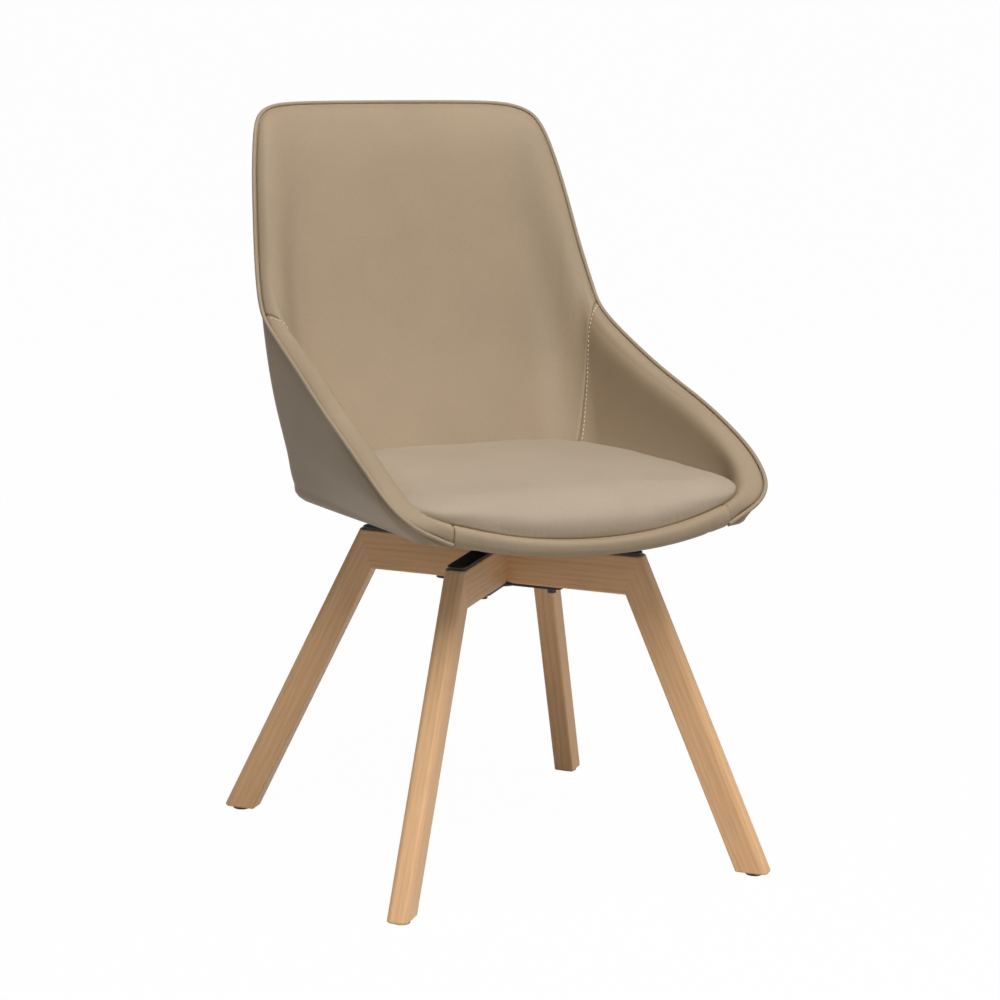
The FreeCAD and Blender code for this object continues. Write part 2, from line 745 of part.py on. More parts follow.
# Levels of the cavity from the deck up, as shares: height, front and rear half width, reach, rounding
INNER_LEVEL_SHARES = [
    (0.0, 0.82, 0.76, 0.350, 0.83),
    (0.055, 0.945, 0.88, 0.413, 0.92),
    (0.13, 0.99, 0.93, 0.495, 1.0),
    (0.26, 1.015, 0.985, 0.616, 1.0),
    (0.46, 1.0, 1.0, 0.752, 1.0),
    (0.72, 0.95, 0.965, 0.879, 1.0),
    (1.0, 0.87, 0.925, 1.0, 1.0),
]


def half_outline(body, height, front, rear, reach, rear_radius, front_radius, front_reach, bow):
    """The right half of a bucket's outline at one height: a flat rear, rounded corners, a bowed front."""
    sketch = new_sketch(body, "XY_Plane", out=height)
    wide, narrow, back = amount(front), amount(rear), amount(reach)
    rear_arc, front_arc, ahead, bulge = amount(rear_radius), amount(front_radius), amount(front_reach), amount(bow)
    side = -ahead + bulge - math.sqrt(bulge * bulge - (wide - front_arc) ** 2)
    up = V(0, 0, 1)
    corner = Part.Circle(V(narrow - rear_arc, back - rear_arc, 0), up, rear_arc)
    nose = Part.Circle(V(wide - front_arc, side + front_arc, 0), up, front_arc)
    front_curve = Part.Circle(V(0, bulge - ahead, 0), up, bulge)
    sketch.addGeometry([
        Part.LineSegment(V(0, back, 0), V(narrow - rear_arc, back, 0)),
        Part.ArcOfCircle(corner, 0, math.pi / 2),
        Part.LineSegment(V(narrow, back - rear_arc, 0), V(wide, side + front_arc, 0)),
        Part.ArcOfCircle(nose, -math.pi / 2, 0),
        Part.ArcOfCircle(front_curve, -math.pi / 2, -math.pi / 2 + math.asin((wide - front_arc) / bulge)),
        Part.LineSegment(V(0, -ahead, 0), V(0, back, 0)),
    ], False)
    for first, end, second, start in ((0, 2, 1, 2), (1, 1, 2, 1), (2, 2, 3, 2), (3, 1, 4, 2)):
        sketch.addConstraint(Sketcher.Constraint("Tangent", first, end, second, start))
    sketch.addConstraint(Sketcher.Constraint("Coincident", 4, 1, 5, 1))
    sketch.addConstraint(Sketcher.Constraint("Coincident", 5, 2, 0, 1))
    sketch.addConstraint(Sketcher.Constraint("Horizontal", 0))
    sketch.addConstraint(Sketcher.Constraint("PointOnObject", 0, 1, -2))
    sketch.addConstraint(Sketcher.Constraint("PointOnObject", 4, 1, -2))
    sketch.addConstraint(Sketcher.Constraint("PointOnObject", 4, 3, -2))
    tie(sketch, "Radius", rear_radius, 1)
    tie(sketch, "Radius", front_radius, 3)
    tie(sketch, "Radius", bow, 4)
    tie(sketch, "DistanceY", reach, -1, 1, 0, 1)
    tie(sketch, "DistanceY", front_reach, 4, 1, -1, 1)
    tie(sketch, "DistanceX", rear, -1, 1, 2, 1)
    tie(sketch, "DistanceX", front, -1, 1, 2, 2)
    return sketch


def both_halves(body, levels):
    """Lofts the right half through its levels and mirrors it to the left."""
    sketches = [half_outline(body, *level) for level in levels]
    half = body.newObject("PartDesign::AdditiveLoft", body.Name + "_half")
    half.Profile = sketches[0]
    half.Sections = sketches[1:]
    half.Ruled = True
    whole = body.newObject("PartDesign::Mirrored", body.Name + "_whole")
    whole.Originals = [half]
    whole.MirrorPlane = (origin_plane(body, "YZ_Plane"), [""])
    body.Tip = whole
    return body


def outer_form(name, inset, open_front=False):
    """The outer form of the shell, drawn in by an inset; its front may run out into the open."""
    levels = []
    for height, front, rear, reach, rear_radius, front_radius, ahead in OUTER_LEVEL_SHARES:
        levels.append((
            f"{SHELL_FLOOR} + {inset} + (shell_rise - {inset}) * {height}",
            f"front_half * {front} - {inset}",
            f"rear_half * {rear} - {inset}",
            f"rear_reach * {reach} - {inset}",
            f"rear_round * {rear_radius} - {inset}",
            f"front_round * {front_radius} - {inset}",
            "front_reach + overrun" if open_front else f"front_reach * {ahead} - {inset}",
            "front_bow",
        ))
    return both_halves(new_body(name), levels)


def cavity_form(name, growth):
    """The cavity, grown by a layer's thickness and open to the front and the top."""
    levels = []
    for height, front, rear, reach, radius in INNER_LEVEL_SHARES:
        levels.append((
            f"{SHELL_FLOOR} + deck_rise - {growth} + (shell_rise - deck_rise + {growth}) * {height}",
            f"{INNER_HALF} * {front} + {growth}",
            f"{INNER_REAR_HALF} * {rear} + {growth}",
            f"{INNER_REACH} * {reach} + {growth}",
            f"inner_round * {radius} + {growth}",
            f"inner_round / 2 + {growth}",
            "front_reach + overrun",
            "front_bow",
        ))
    return both_halves(new_body(name), levels)


outer_face = outer_form("outer_face", "0")
core_face = outer_form("core_face", "cover")
core_inside = outer_form("core_inside", "(cover + core)", open_front=True)
foam_face = cavity_form("foam_face", "cover")
cavity = cavity_form("cavity", "0")


# The rim: what stays of the shell below its side line and inside its front outline
def rim_limit(name, inset):
    side = new_body(name + "_side")
    lean = f"({RIM_TOP_REACH} - waist_reach) / (back_rise - waist_rise)"
    far = "rear_reach + overrun"
    corners = [
        (f"-front_reach - overrun", f"{SHELL_FLOOR} - overrun"),
        (far, f"{SHELL_FLOOR} - overrun"),
        (far, f"{SHELL_FLOOR} + back_rise + overrun - {inset}"),
        (f"{RIM_TOP_REACH} + overrun * {lean} + {inset}", f"{SHELL_FLOOR} + back_rise + overrun - {inset}"),
        (f"waist_reach + {inset}", f"{SHELL_FLOOR} + waist_rise - {inset}"),
        (f"-{NOSE_REACH} + {inset}", f"{SHELL_FLOOR} + nose_rise - {inset}"),
        (f"-{ARM_FRONT_REACH} + {inset}", f"{SHELL_FLOOR} + arm_front_rise - {inset}"),
        (f"-{ARM_FRONT_REACH} + {inset}", f"{SHELL_FLOOR} + deck_rise - {inset}"),
        (f"-front_reach - overrun", f"{SHELL_FLOOR} + deck_rise - {inset}"),
    ]
    sketch = new_sketch(side, "YZ_Plane")
    outline(sketch, corners, {4: "arm_bow"})
    feature = pad(side, sketch, "2 * front_half + 2 * overrun", symmetric=True)
    for corner, radius in ((4, "waist_round"), (5, "nose_round"), (6, "arm_front_round")):
        spot = V(0, amount(corners[corner][0]), amount(corners[corner][1]))
        feature = rounded(side, feature, radius, lambda edge: runs_along(edge, V(1, 0, 0))
                          and math.hypot(edge.CenterOfMass.y - spot.y, edge.CenterOfMass.z - spot.z) < 1e-3)
    front = new_body(name + "_front")
    splay = "(front_half + overrun)"
    front_corners = [
        (f"-{splay}", f"{SHELL_FLOOR} - overrun"),
        (splay, f"{SHELL_FLOOR} - overrun"),
        (f"{TOP_HALF} - {inset}", f"{SHELL_FLOOR} + back_rise - {inset}"),
        (f"-{TOP_HALF} + {inset}", f"{SHELL_FLOOR} + back_rise - {inset}"),
    ]
    front_sketch = new_sketch(front, "XZ_Plane")
    outline(front_sketch, front_corners, {2: "top_bow"})
    feature = pad(front, front_sketch, "2 * rear_reach + 2 * overrun", symmetric=True)
    top = amount(front_corners[2][1]) - 1e-3
    rounded(front, feature, "top_round", lambda edge: runs_along(edge, V(0, 1, 0)) and edge.CenterOfMass.z > top)
    return common(name, side, front)


rim = rim_limit("rim", "0")
rim_inside = rim_limit("rim_inside", "cover")
rim_core = rim_limit("rim_core", "(cover + core_edge)")

# The upholstered body, and the same body without its leather
body_outside = common("body_outside", outer_face, rim)
body_whole = cut("body_whole", body_outside, cavity)
padding_outside = common("padding_outside", core_face, rim_inside)
padding_whole = cut("padding_whole", padding_outside, foam_face)
leather = cut("leather", body_whole, padding_whole)
leather_outer = cut("leather_outer", leather, core_face)
leather_inner = common("leather_inner", leather, core_face)

# Moulded core, which ends under the padding of the rim, with a hole over the pivot and four for the tee nuts
seat_floor_holes = [drum("pivot_opening", "pivot_head_radius + pivot_room", "cover + core + 2 * overrun",
                         z=f"{SHELL_FLOOR} - overrun")]
for across in ("-", ""):
    for along in ("-", ""):
        seat_floor_holes.append(drum("tee_opening", "tee_radius", "cover + core + 2 * overrun",
                                     f"{across}seat_bolt_offset", f"{along}seat_bolt_offset",
                                     f"{SHELL_FLOOR} - overrun"))
floor_holes = group("floor_holes", seat_floor_holes)
core_blank = cut("core_blank", common("core_walls", padding_whole, rim_core), core_inside)
node(cut("seat_shell", core_blank, floor_holes), "seat_shell")

# Foam on the inside of the core and over its edge, in four pieces that meet at the seams
foam = cut("foam", padding_whole, core_blank)


def seam_wedge(name):
    """The space of the back panel: between the two upright planes of its seams."""
    body = new_body(name)
    sketch = new_sketch(body, "XY_Plane", out=f"{SHELL_FLOOR} - overrun")
    top_reach = "(waist_reach - seam_top_setback)"
    top_across = "(rear_half - seam_top_set_in)"
    slope = f"(({top_reach} - seam_foot_reach) / ({top_across} - seam_foot_across))"
    splay = "(front_half + overrun)"
    corner = f"seam_foot_reach + ({splay} - seam_foot_across) * {slope}"
    far = "rear_reach + overrun"
    outline(sketch, [("0", f"seam_foot_reach - seam_foot_across * {slope}"), (splay, corner), (splay, far),
                     (f"-{splay}", far), (f"-{splay}", corner)])
    pad(body, sketch, "shell_rise + 2 * overrun")
    return body


def side_space(name, side, foot, reach):
    """The space on one side of the middle, above a height and behind a line across the seat."""
    corner = "0" if side > 0 else "-front_half - overrun"
    return block(name, "front_half + overrun", f"{reach} + rear_reach + overrun", "shell_rise + overrun",
                 corner, f"-({reach})", foot)


wedge = seam_wedge("wedge")
PAN_TOP = f"({SHELL_FLOOR} + deck_rise)"
pan_space = block("pan_space", "2 * front_half + 2 * overrun", "front_reach + rear_reach + 2 * overrun",
                  "deck_rise + overrun", "-front_half - overrun", "-front_reach - overrun",
                  f"{SHELL_FLOOR} - overrun")
pan_foam = common("pan_foam_blank", foam, pan_space)
foam_sides = cut("foam_sides", foam, pan_space)
tee_heads = [drum("tee_head_room", "tee_flange_radius", "tee_flange", f"{across}seat_bolt_offset",
                  f"{along}seat_bolt_offset", CORE_TOP) for across in ("-", "") for along in ("-", "")]
node(cut("pan_foam", pan_foam, group("tee_heads", tee_heads)), "pan_foam")
node(common("back_foam", foam_sides, wedge), "back_foam")
foam_arms = cut("foam_arms", foam_sides, wedge)
for side, hand in ((1, "right"), (-1, "left")):
    space = side_space(f"arm_space_{hand}", side, SHELL_FLOOR, "front_reach + overrun")
    node(common(f"arm_foam_{hand}", foam_arms, space), f"arm_foam_{hand}")

# Leather on the outside: the underside, the front band, the back and the two sides
under_space = block("under_space", "2 * front_half + 2 * overrun", "front_reach + rear_reach + 2 * overrun",
                    "cover + overrun", "-front_half - overrun", "-front_reach - overrun",
                    f"{SHELL_FLOOR} - overrun")
underside_blank = common("underside_blank", leather_outer, under_space)
node(cut("underside_cover", underside_blank, floor_holes), "underside_cover")
outer_walls = cut("outer_walls", leather_outer, under_space)
back_space = block("back_space", "2 * back_panel_half", "rear_reach + overrun", "shell_rise + overrun",
                   "-back_panel_half", "0", SHELL_FLOOR)
band_space = block("band_space", "2 * band_half", "band_wrap + overrun", "deck_rise + overrun",
                   "-band_half", "-front_reach - overrun", SHELL_FLOOR)
node(common("outer_back_cover", outer_walls, back_space), "outer_back_cover")
node(common("front_band", outer_walls, band_space), "front_band")
outer_sides = cut("outer_sides", outer_walls, group("outer_middles", [back_space, band_space]))

# Leather on the inside: the deck under the cushion, the back and the two arms, which wrap the rim
deck = common("deck_blank", leather_inner, pan_space)
node(deck, "deck_cover")
inner_walls = cut("inner_walls", leather_inner, pan_space)
node(common("inner_back_cover", inner_walls, wedge), "inner_back_cover")
inner_arms = cut("inner_arms", inner_walls, wedge)
for side, hand in ((1, "right"), (-1, "left")):
    space = side_space(f"cover_space_{hand}", side, SHELL_FLOOR, "front_reach + overrun")
    node(common(f"inner_arm_cover_{hand}", inner_arms, space), f"inner_arm_cover_{hand}")
    node(common(f"outer_side_cover_{hand}", outer_sides, space), f"outer_side_cover_{hand}")

# Levels of the cushion from its underside to its crown, as shares of its height: height, drawn-in side
CUSHION_LEVEL_SHARES = [
    (0.0, 0.61),
    (0.15, 0.38),
    (0.30, 0.20),
    (0.50, 0.055),
    (0.69, 0.04),
    (0.84, 0.20),
    (0.94, 0.65),
    (1.0, 1.70),
]


def cushion_form(name, inset):
    """The crowned seat cushion, drawn in by an inset all round, in the room that the cavity has over the deck."""
    levels = []
    front, rear, reach = INNER_LEVEL_SHARES[1][1:4]
    for height, drawn_in in CUSHION_LEVEL_SHARES:
        shrink = f"(cushion_height * {drawn_in} + {inset})"
        levels.append((
            f"{PAN_TOP} + cushion_gap + {inset} + (cushion_height - 2 * {inset}) * {height}",
            f"{INNER_HALF} * {front} - cushion_side_room - {shrink}",
            f"{INNER_REAR_HALF} * {rear} - cushion_rear_side_room - {shrink}",
            f"{INNER_REACH} * {reach} - cushion_rear_room - {shrink}",
            f"cushion_round - {shrink} / 2",
            f"cushion_front_round - {shrink} / 4",
            f"front_reach - cushion_front_setback - {shrink}",
            "cushion_bow",
        ))
    return both_halves(new_body(name), levels)


cushion_foam = cushion_form("seat_cushion_foam", "cover")
node(cushion_foam, "seat_cushion_foam")
node(cut("seat_cushion_cover", cushion_form("cushion_outside", "0"), cushion_foam), "seat_cushion_cover")


# Piping: a corded edge along the outer line of the rim, from one end of the front band to the other
def rim_line():
    """Points along the outer edge of the rim, each with the way out between the two faces there."""
    shape = body_outside.Shape
    outside = outer_face.Shape.Shells[0]
    limit = rim.Shape.Shells[0]
    above = amount(f"{PAN_TOP} + cover")
    touch = amount("piping_gap / 10")
    found = []
    for edge in shape.Edges:
        spot = edge.valueAt((edge.FirstParameter + edge.LastParameter) / 2)
        vertex = Part.Vertex(spot)
        if spot.z > above and outside.distToShape(vertex)[0] < touch and limit.distToShape(vertex)[0] < touch:
            found.append(edge)
    line = []
    for edge in Part.sortEdges(found)[0]:
        original = min(found, key=lambda candidate: candidate.CenterOfMass.distanceToPoint(edge.CenterOfMass))
        faces = shape.ancestorsOfType(original, Part.Face)
        for point in edge.discretize(Deflection=amount("piping_gap / 2")):
            normals = [face.normalAt(*face.Surface.parameter(point)) for face in faces]
            line.append((point, (normals[0] + normals[1]).normalize()))
    return line


def rounded_path(points):
    """Straight runs through points, with an arc at each that is tangent to both its runs."""
    edges = []
    here = points[0]
    for before, corner, after in zip(points, points[1:], points[2:]):
        back = before - corner
        ahead = after - corner
        reach = 0.45 * min(back.Length, ahead.Length)
        back.normalize()
        ahead.normalize()
        inward = back + ahead
        if inward.Length < 1e-3:
            continue
        half_angle = back.getAngle(ahead) / 2
        inward.normalize()
        start = corner + back * reach
        end = corner + ahead * reach
        middle = corner + inward * (reach / math.cos(half_angle) - reach * math.tan(half_angle))
        edges.append(Part.makeLine(here, start))
        edges.append(Part.Arc(start, middle, end).toShape())
        here = end
    edges.append(Part.makeLine(here, points[-1]))
    return Part.Wire(edges)


doc.recompute()
least_run = amount("3 * piping_radius")
stand_off = amount("piping_radius + piping_gap")
piping_points = []
for point, outward in rim_line():
    spot = point + outward * stand_off
    if not piping_points or (spot - piping_points[-1]).Length > least_run:
        piping_points.append(spot)
piping_path = rounded_path(piping_points)
piping_start = piping_points[1] - piping_points[0]
piping_section = Part.Wire(Part.makeCircle(amount("piping_radius"), piping_points[0], piping_start))
piping = doc.addObject("Part::Feature", "rim_piping")
piping.Shape = piping_path.makePipeShell([piping_section], True, False)
node(piping, "rim_piping")

# Every object of the document has to be whole before the sub-parts are written
doc.recompute()
for thing in doc.Objects:
    if "Invalid" in thing.State or "Error" in thing.State:
        raise RuntimeError(f"{thing.Name} failed: {thing.State}")
os.makedirs("parts", exist_ok=True)
for thing in NODES:
    if thing.Shape.isNull() or not thing.Shape.isValid():
        raise RuntimeError(f"{thing.Label} has no valid shape")
    thing.Shape.exportStep(f"parts/{thing.Label}.step")
print(f"{len(NODES)} sub-parts written")
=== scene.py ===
import math

import bmesh
import bpy
import numpy as np
from mathutils import Matrix, Vector
from mathutils.kdtree import KDTree


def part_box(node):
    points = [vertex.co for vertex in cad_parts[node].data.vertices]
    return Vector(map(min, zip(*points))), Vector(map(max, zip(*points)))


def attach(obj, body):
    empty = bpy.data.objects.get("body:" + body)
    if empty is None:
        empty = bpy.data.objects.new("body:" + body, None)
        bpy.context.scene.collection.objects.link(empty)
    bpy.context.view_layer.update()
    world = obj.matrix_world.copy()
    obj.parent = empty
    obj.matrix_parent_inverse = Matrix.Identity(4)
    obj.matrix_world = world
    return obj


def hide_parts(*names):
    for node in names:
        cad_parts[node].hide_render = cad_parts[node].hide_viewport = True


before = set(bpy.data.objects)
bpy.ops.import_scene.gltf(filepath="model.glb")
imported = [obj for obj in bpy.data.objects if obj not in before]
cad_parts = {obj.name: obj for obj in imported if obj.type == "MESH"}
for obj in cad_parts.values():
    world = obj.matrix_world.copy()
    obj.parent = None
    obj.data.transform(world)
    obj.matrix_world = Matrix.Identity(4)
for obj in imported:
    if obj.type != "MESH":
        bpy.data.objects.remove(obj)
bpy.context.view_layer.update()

MM = 0.001

# Studio
# A white room with soft light from all sides: a large soft box overhead, a weak one in front and one at
# the right. The camera stands before the chair's left front corner, a little above its back.
CAMERA_AT = (-1.6566, -3.1666, 1.1442)
CAMERA_HEADING = 27.57
CAMERA_DROP = 11.5
CAMERA_ROLL = 1.89
FOCAL_PIXELS = 3100
FRAME_PIXELS = 1000
SENSOR_WIDTH = 36
VIEW_END = 100
FLOOR_SIZE = 60
FLOOR_PAINT = (0.62, 0.62, 0.62, 1)
FLOOR_WHITE = 0.985
WHITE = (1, 1, 1, 1)
ROOM_LIGHT = 0.17
SEAT_MIDDLE = (0, 0, 0.5)
# Each lamp's place, size and power
LAMPS = {
    "top_box": ((-0.2, -1.15, 3.0), 2.2, 89),
    "front_box": ((-0.4, -3.2, 2.3), 1.8, 6),
    "right_box": ((3.0, -0.8, 1.6), 1.6, 18),
}

scene = bpy.context.scene
scene.view_settings.view_transform = "Standard"

camera_data = bpy.data.cameras.new("camera")
camera = bpy.data.objects.new("camera", camera_data)
scene.collection.objects.link(camera)
scene.camera = camera
camera_data.sensor_width = SENSOR_WIDTH
camera_data.lens = SENSOR_WIDTH * FOCAL_PIXELS / FRAME_PIXELS
camera_data.clip_end = VIEW_END
camera.location = CAMERA_AT
heading = Matrix.Rotation(math.radians(-CAMERA_HEADING), 3, "Z")
drop = Matrix.Rotation(math.radians(90 - CAMERA_DROP), 3, "X")
roll = Matrix.Rotation(math.radians(CAMERA_ROLL), 3, "Z")
camera.rotation_euler = (heading @ drop @ roll).to_euler()


def new_material(name):
    """A material whose nodes are cleared away."""
    material = bpy.data.materials.new(name)
    material.use_nodes = True
    material.node_tree.nodes.clear()
    return material


def add_node(tree, kind, **values):
    """Adds a node; a value is one of its properties, or a socket if its name starts with a capital."""
    made = tree.nodes.new(kind)
    for key, value in values.items():
        if key[0].isupper():
            made.inputs[key.replace("_", " ")].default_value = value
        else:
            setattr(made, key, value)
    return made


def feed(tree, term, socket):
    """Gives a socket another node's output or a plain value."""
    if isinstance(term, bpy.types.NodeSocket):
        tree.links.new(term, socket)
    else:
        socket.default_value = term


def reckon(tree, operation, first, second):
    """The result of two terms, each an output or a number."""
    made = add_node(tree, "ShaderNodeMath", operation=operation)
    feed(tree, first, made.inputs[0])
    feed(tree, second, made.inputs[1])
    return made.outputs[0]


def seen_rays(tree, *kinds):
    """1 for rays of the given kinds, 0 for others."""
    path = add_node(tree, "ShaderNodeLightPath")
    rays = path.outputs[f"Is {kinds[0]} Ray"]
    for kind in kinds[1:]:
        rays = reckon(tree, "MAXIMUM", rays, path.outputs[f"Is {kind} Ray"])
    return rays


def show_either(tree, share, first, second, output_kind):
    """Shows two shaders, the second by its share."""
    mixed = add_node(tree, "ShaderNodeMixShader")
    output = add_node(tree, output_kind)
    feed(tree, share, mixed.inputs[0])
    feed(tree, first.outputs[0], mixed.inputs[1])
    feed(tree, second.outputs[0], mixed.inputs[2])
    feed(tree, mixed.outputs[0], output.inputs[0])


def mesh_piece(name, vertices, faces, material, smooth=True):
    """A mesh object made of points and faces, at the origin."""
    mesh = bpy.data.meshes.new(name)
    mesh.from_pydata([tuple(v) for v in vertices], [], [tuple(int(i) for i in f) for f in faces])
    mesh.materials.append(material)
    mesh.polygons.foreach_set("use_smooth", [smooth] * len(mesh.polygons))
    mesh.update()
    piece = bpy.data.objects.new(name, mesh)
    scene.collection.objects.link(piece)
    return piece


floor_paint = new_material("floor_paint")
tree = floor_paint.node_tree
paint = add_node(tree, "ShaderNodeBsdfPrincipled", Base_Color=FLOOR_PAINT, Roughness=0.9,
                 Specular_IOR_Level=0.1)
glow = add_node(tree, "ShaderNodeEmission", Color=WHITE, Strength=1.0)
white_share = reckon(tree, "MULTIPLY", seen_rays(tree, "Camera", "Glossy", "Transmission"), FLOOR_WHITE)
show_either(tree, white_share, paint, glow, "ShaderNodeOutputMaterial")
edge = FLOOR_SIZE / 2
floor = mesh_piece("floor", [(-edge, -edge, 0), (edge, -edge, 0), (edge, edge, 0), (-edge, edge, 0)],
                   [(0, 1, 2, 3)], floor_paint, smooth=False)

world = bpy.data.worlds.new("room")
scene.world = world
world.use_nodes = True
tree = world.node_tree
tree.nodes.clear()
lit = add_node(tree, "ShaderNodeBackground", Color=WHITE, Strength=ROOM_LIGHT)
shown = add_node(tree, "ShaderNodeBackground", Color=WHITE, Strength=1.0)
show_either(tree, seen_rays(tree, "Camera", "Transmission"), lit, shown, "ShaderNodeOutputWorld")

for name, (place, size, power) in LAMPS.items():
    lamp = bpy.data.lights.new(name, "AREA")
    lamp.size = size
    lamp.energy = power
    holder = bpy.data.objects.new(name, lamp)
    holder.location = place
    holder.rotation_euler = (Vector(SEAT_MIDDLE) - Vector(place)).to_track_quat("-Z", "Y").to_euler()
    scene.collection.objects.link(holder)

# Oak frame
# Four splayed legs and two rails of 25 mm oak, halved where they cross and glued to the legs in comb
# joints. The grain runs along each piece; open pores and darker late wood show as fine streaks.
OAK_LIGHT = (0.92, 0.575, 0.315, 1)
OAK_MIDDLE = (0.82, 0.48, 0.235, 1)
OAK_DARK = (0.54, 0.28, 0.115, 1)
# Places of the dark, middle and light tones on the scale of the grain
DARK_AT = 0.12
MIDDLE_AT = 0.48
LIGHT_AT = 0.95
# How each pattern is squeezed across and along the grain, and its share in the tone
DRIFT_SQUEEZE = (5, 5, 0.8)
DRIFT_SHARE = 0.55
RING_SQUEEZE = (1, 1, 0.055)
RING_SHARE = 0.26
FIBRE_SQUEEZE = (420, 420, 9)
FIBRE_SHARE = 0.42
PORE_SQUEEZE = (1700, 1700, 18)
PORE_EDGES = (0.33, 0.42)
PORE_SHADE = 0.80
PORE_DEPTH = 0.0004
OAK_ROUGHNESS = (0.42, 0.62)
SEED_STEPS = (0.31, 0.17, 0.71)


def ranged(tree, value, low, high, start=0.0, end=1.0):
    """A value between start and end, stretched to run from low to high."""
    made = add_node(tree, "ShaderNodeMapRange", From_Min=start, From_Max=end, To_Min=low, To_Max=high)
    feed(tree, value, made.inputs["Value"])
    return made.outputs[0]


def mixed_colour(tree, first, second, share, blend="MIX"):
    """Two colours mixed, the second by its share."""
    made = add_node(tree, "ShaderNodeMix", data_type="RGBA", blend_type=blend)
    feed(tree, share, made.inputs["Factor"])
    feed(tree, first, made.inputs[6])
    feed(tree, second, made.inputs[7])
    return made.outputs[2]


def surface(tree, colour, roughness, bump, **values):
    """Shows a surface with its colour, roughness and relief."""
    skin = add_node(tree, "ShaderNodeBsdfPrincipled", **values)
    output = add_node(tree, "ShaderNodeOutputMaterial")
    feed(tree, colour, skin.inputs["Base Color"])
    feed(tree, roughness, skin.inputs["Roughness"])
    feed(tree, bump.outputs[0], skin.inputs["Normal"])
    feed(tree, skin.outputs[0], output.inputs[0])


def oak(name, along, seed, tone=0.0):
    """Oiled oak whose grain runs along a direction of the frame."""
    material = new_material(name)
    tree = material.node_tree
    turn = Vector(along).normalized().rotation_difference(Vector((0, 0, 1))).to_euler()
    place = add_node(tree, "ShaderNodeTexCoord")
    lay = add_node(tree, "ShaderNodeMapping", Location=[seed * step for step in SEED_STEPS], Rotation=turn)
    feed(tree, place.outputs["Object"], lay.inputs["Vector"])

    def stretched(scale, kind, **values):
        """A pattern squeezed across and along the grain."""
        squeeze = add_node(tree, "ShaderNodeMapping", Scale=scale)
        feed(tree, lay.outputs[0], squeeze.inputs["Vector"])
        made = add_node(tree, kind, **values)
        feed(tree, squeeze.outputs[0], made.inputs["Vector"])
        return made.outputs["Fac"]

    drift = stretched(DRIFT_SQUEEZE, "ShaderNodeTexNoise", Scale=1.0, Detail=2.0)
    rings = stretched(RING_SQUEEZE, "ShaderNodeTexWave", bands_direction="X", Scale=62.0, Distortion=5.5,
                      Detail=3.0, Detail_Scale=1.6, Detail_Roughness=0.6)
    fibre = stretched(FIBRE_SQUEEZE, "ShaderNodeTexNoise", Scale=1.0, Detail=4.0, Roughness=0.65)
    pores = stretched(PORE_SQUEEZE, "ShaderNodeTexNoise", Scale=1.0, Detail=1.0)
    slow = reckon(tree, "ADD", reckon(tree, "MULTIPLY", rings, RING_SHARE),
                  reckon(tree, "MULTIPLY", drift, DRIFT_SHARE))
    streaks = reckon(tree, "ADD", slow, reckon(tree, "MULTIPLY", fibre, FIBRE_SHARE))
    ramp = add_node(tree, "ShaderNodeValToRGB")
    stops = ramp.color_ramp.elements
    stops[0].position = DARK_AT
    stops[0].color = OAK_DARK
    stops[1].position = LIGHT_AT
    stops[1].color = OAK_LIGHT
    stops.new(MIDDLE_AT).color = OAK_MIDDLE
    # The tone shifts the grain's colour lighter or darker; on the legs it is painted light and shade.
    feed(tree, reckon(tree, "ADD", streaks, tone), ramp.inputs["Fac"])
    open_pores = ranged(tree, pores, PORE_SHADE, 1.0, *PORE_EDGES)
    tint = mixed_colour(tree, ramp.outputs["Color"], open_pores, 1.0, "MULTIPLY")
    bump = add_node(tree, "ShaderNodeBump", Strength=0.12, Distance=PORE_DEPTH)
    feed(tree, pores, bump.inputs["Height"])
    surface(tree, tint, ranged(tree, fibre, *OAK_ROUGHNESS), bump, Specular_IOR_Level=0.35)
    return material


def dress(name, material):
    """Gives a CAD node its finish."""
    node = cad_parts[name]
    node.data.materials.clear()
    node.data.materials.append(material)


def level_way(angle):
    """A level direction at an angle from the right."""
    return Vector((math.cos(math.radians(angle)), math.sin(math.radians(angle)), 0))


# Each corner's angle and how much lighter its leg's oak is, which is painted light and shade: the front
# left leg, most in the light, is lightest and the rear right one, most in shade, is darkest. The same for
# the rails, whose oak is a little darker still.
CORNERS = {"front_right": (-45, 0.0), "rear_right": (45, -0.06), "rear_left": (135, -0.02),
           "front_left": (225, 0.06)}
RAILS = {"cross_rail_upper": (45, -0.08), "cross_rail_lower": (135, -0.08)}
RAIL_SEED = 7
CORNER_REACH = 0.175
FOOT_REACH = 0.345
frame_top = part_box("leg_front_left")[1].z
for seed, (corner, (angle, tone)) in enumerate(CORNERS.items(), start=1):
    leg_way = level_way(angle) * (CORNER_REACH - FOOT_REACH) + Vector((0, 0, frame_top))
    dress(f"leg_{corner}", oak(f"oak_leg_{corner}", leg_way, seed, tone))
for seed, (rail, (angle, tone)) in enumerate(RAILS.items(), start=RAIL_SEED):
    dress(rail, oak(f"oak_{rail}", level_way(angle), seed, tone))

# Steel plates
# A cross plate on the rails, a smaller one under them and the two square plates of the ball swivel,
# laser cut from 3 mm sheet and powder coated black with a fine orange peel.
COAT_BLACK = (0.027, 0.020, 0.019, 1)
PATCH_SCALE = 14.0
PATCH_LIFT = 1.35
ROUGHNESS_SPREAD = 0.08


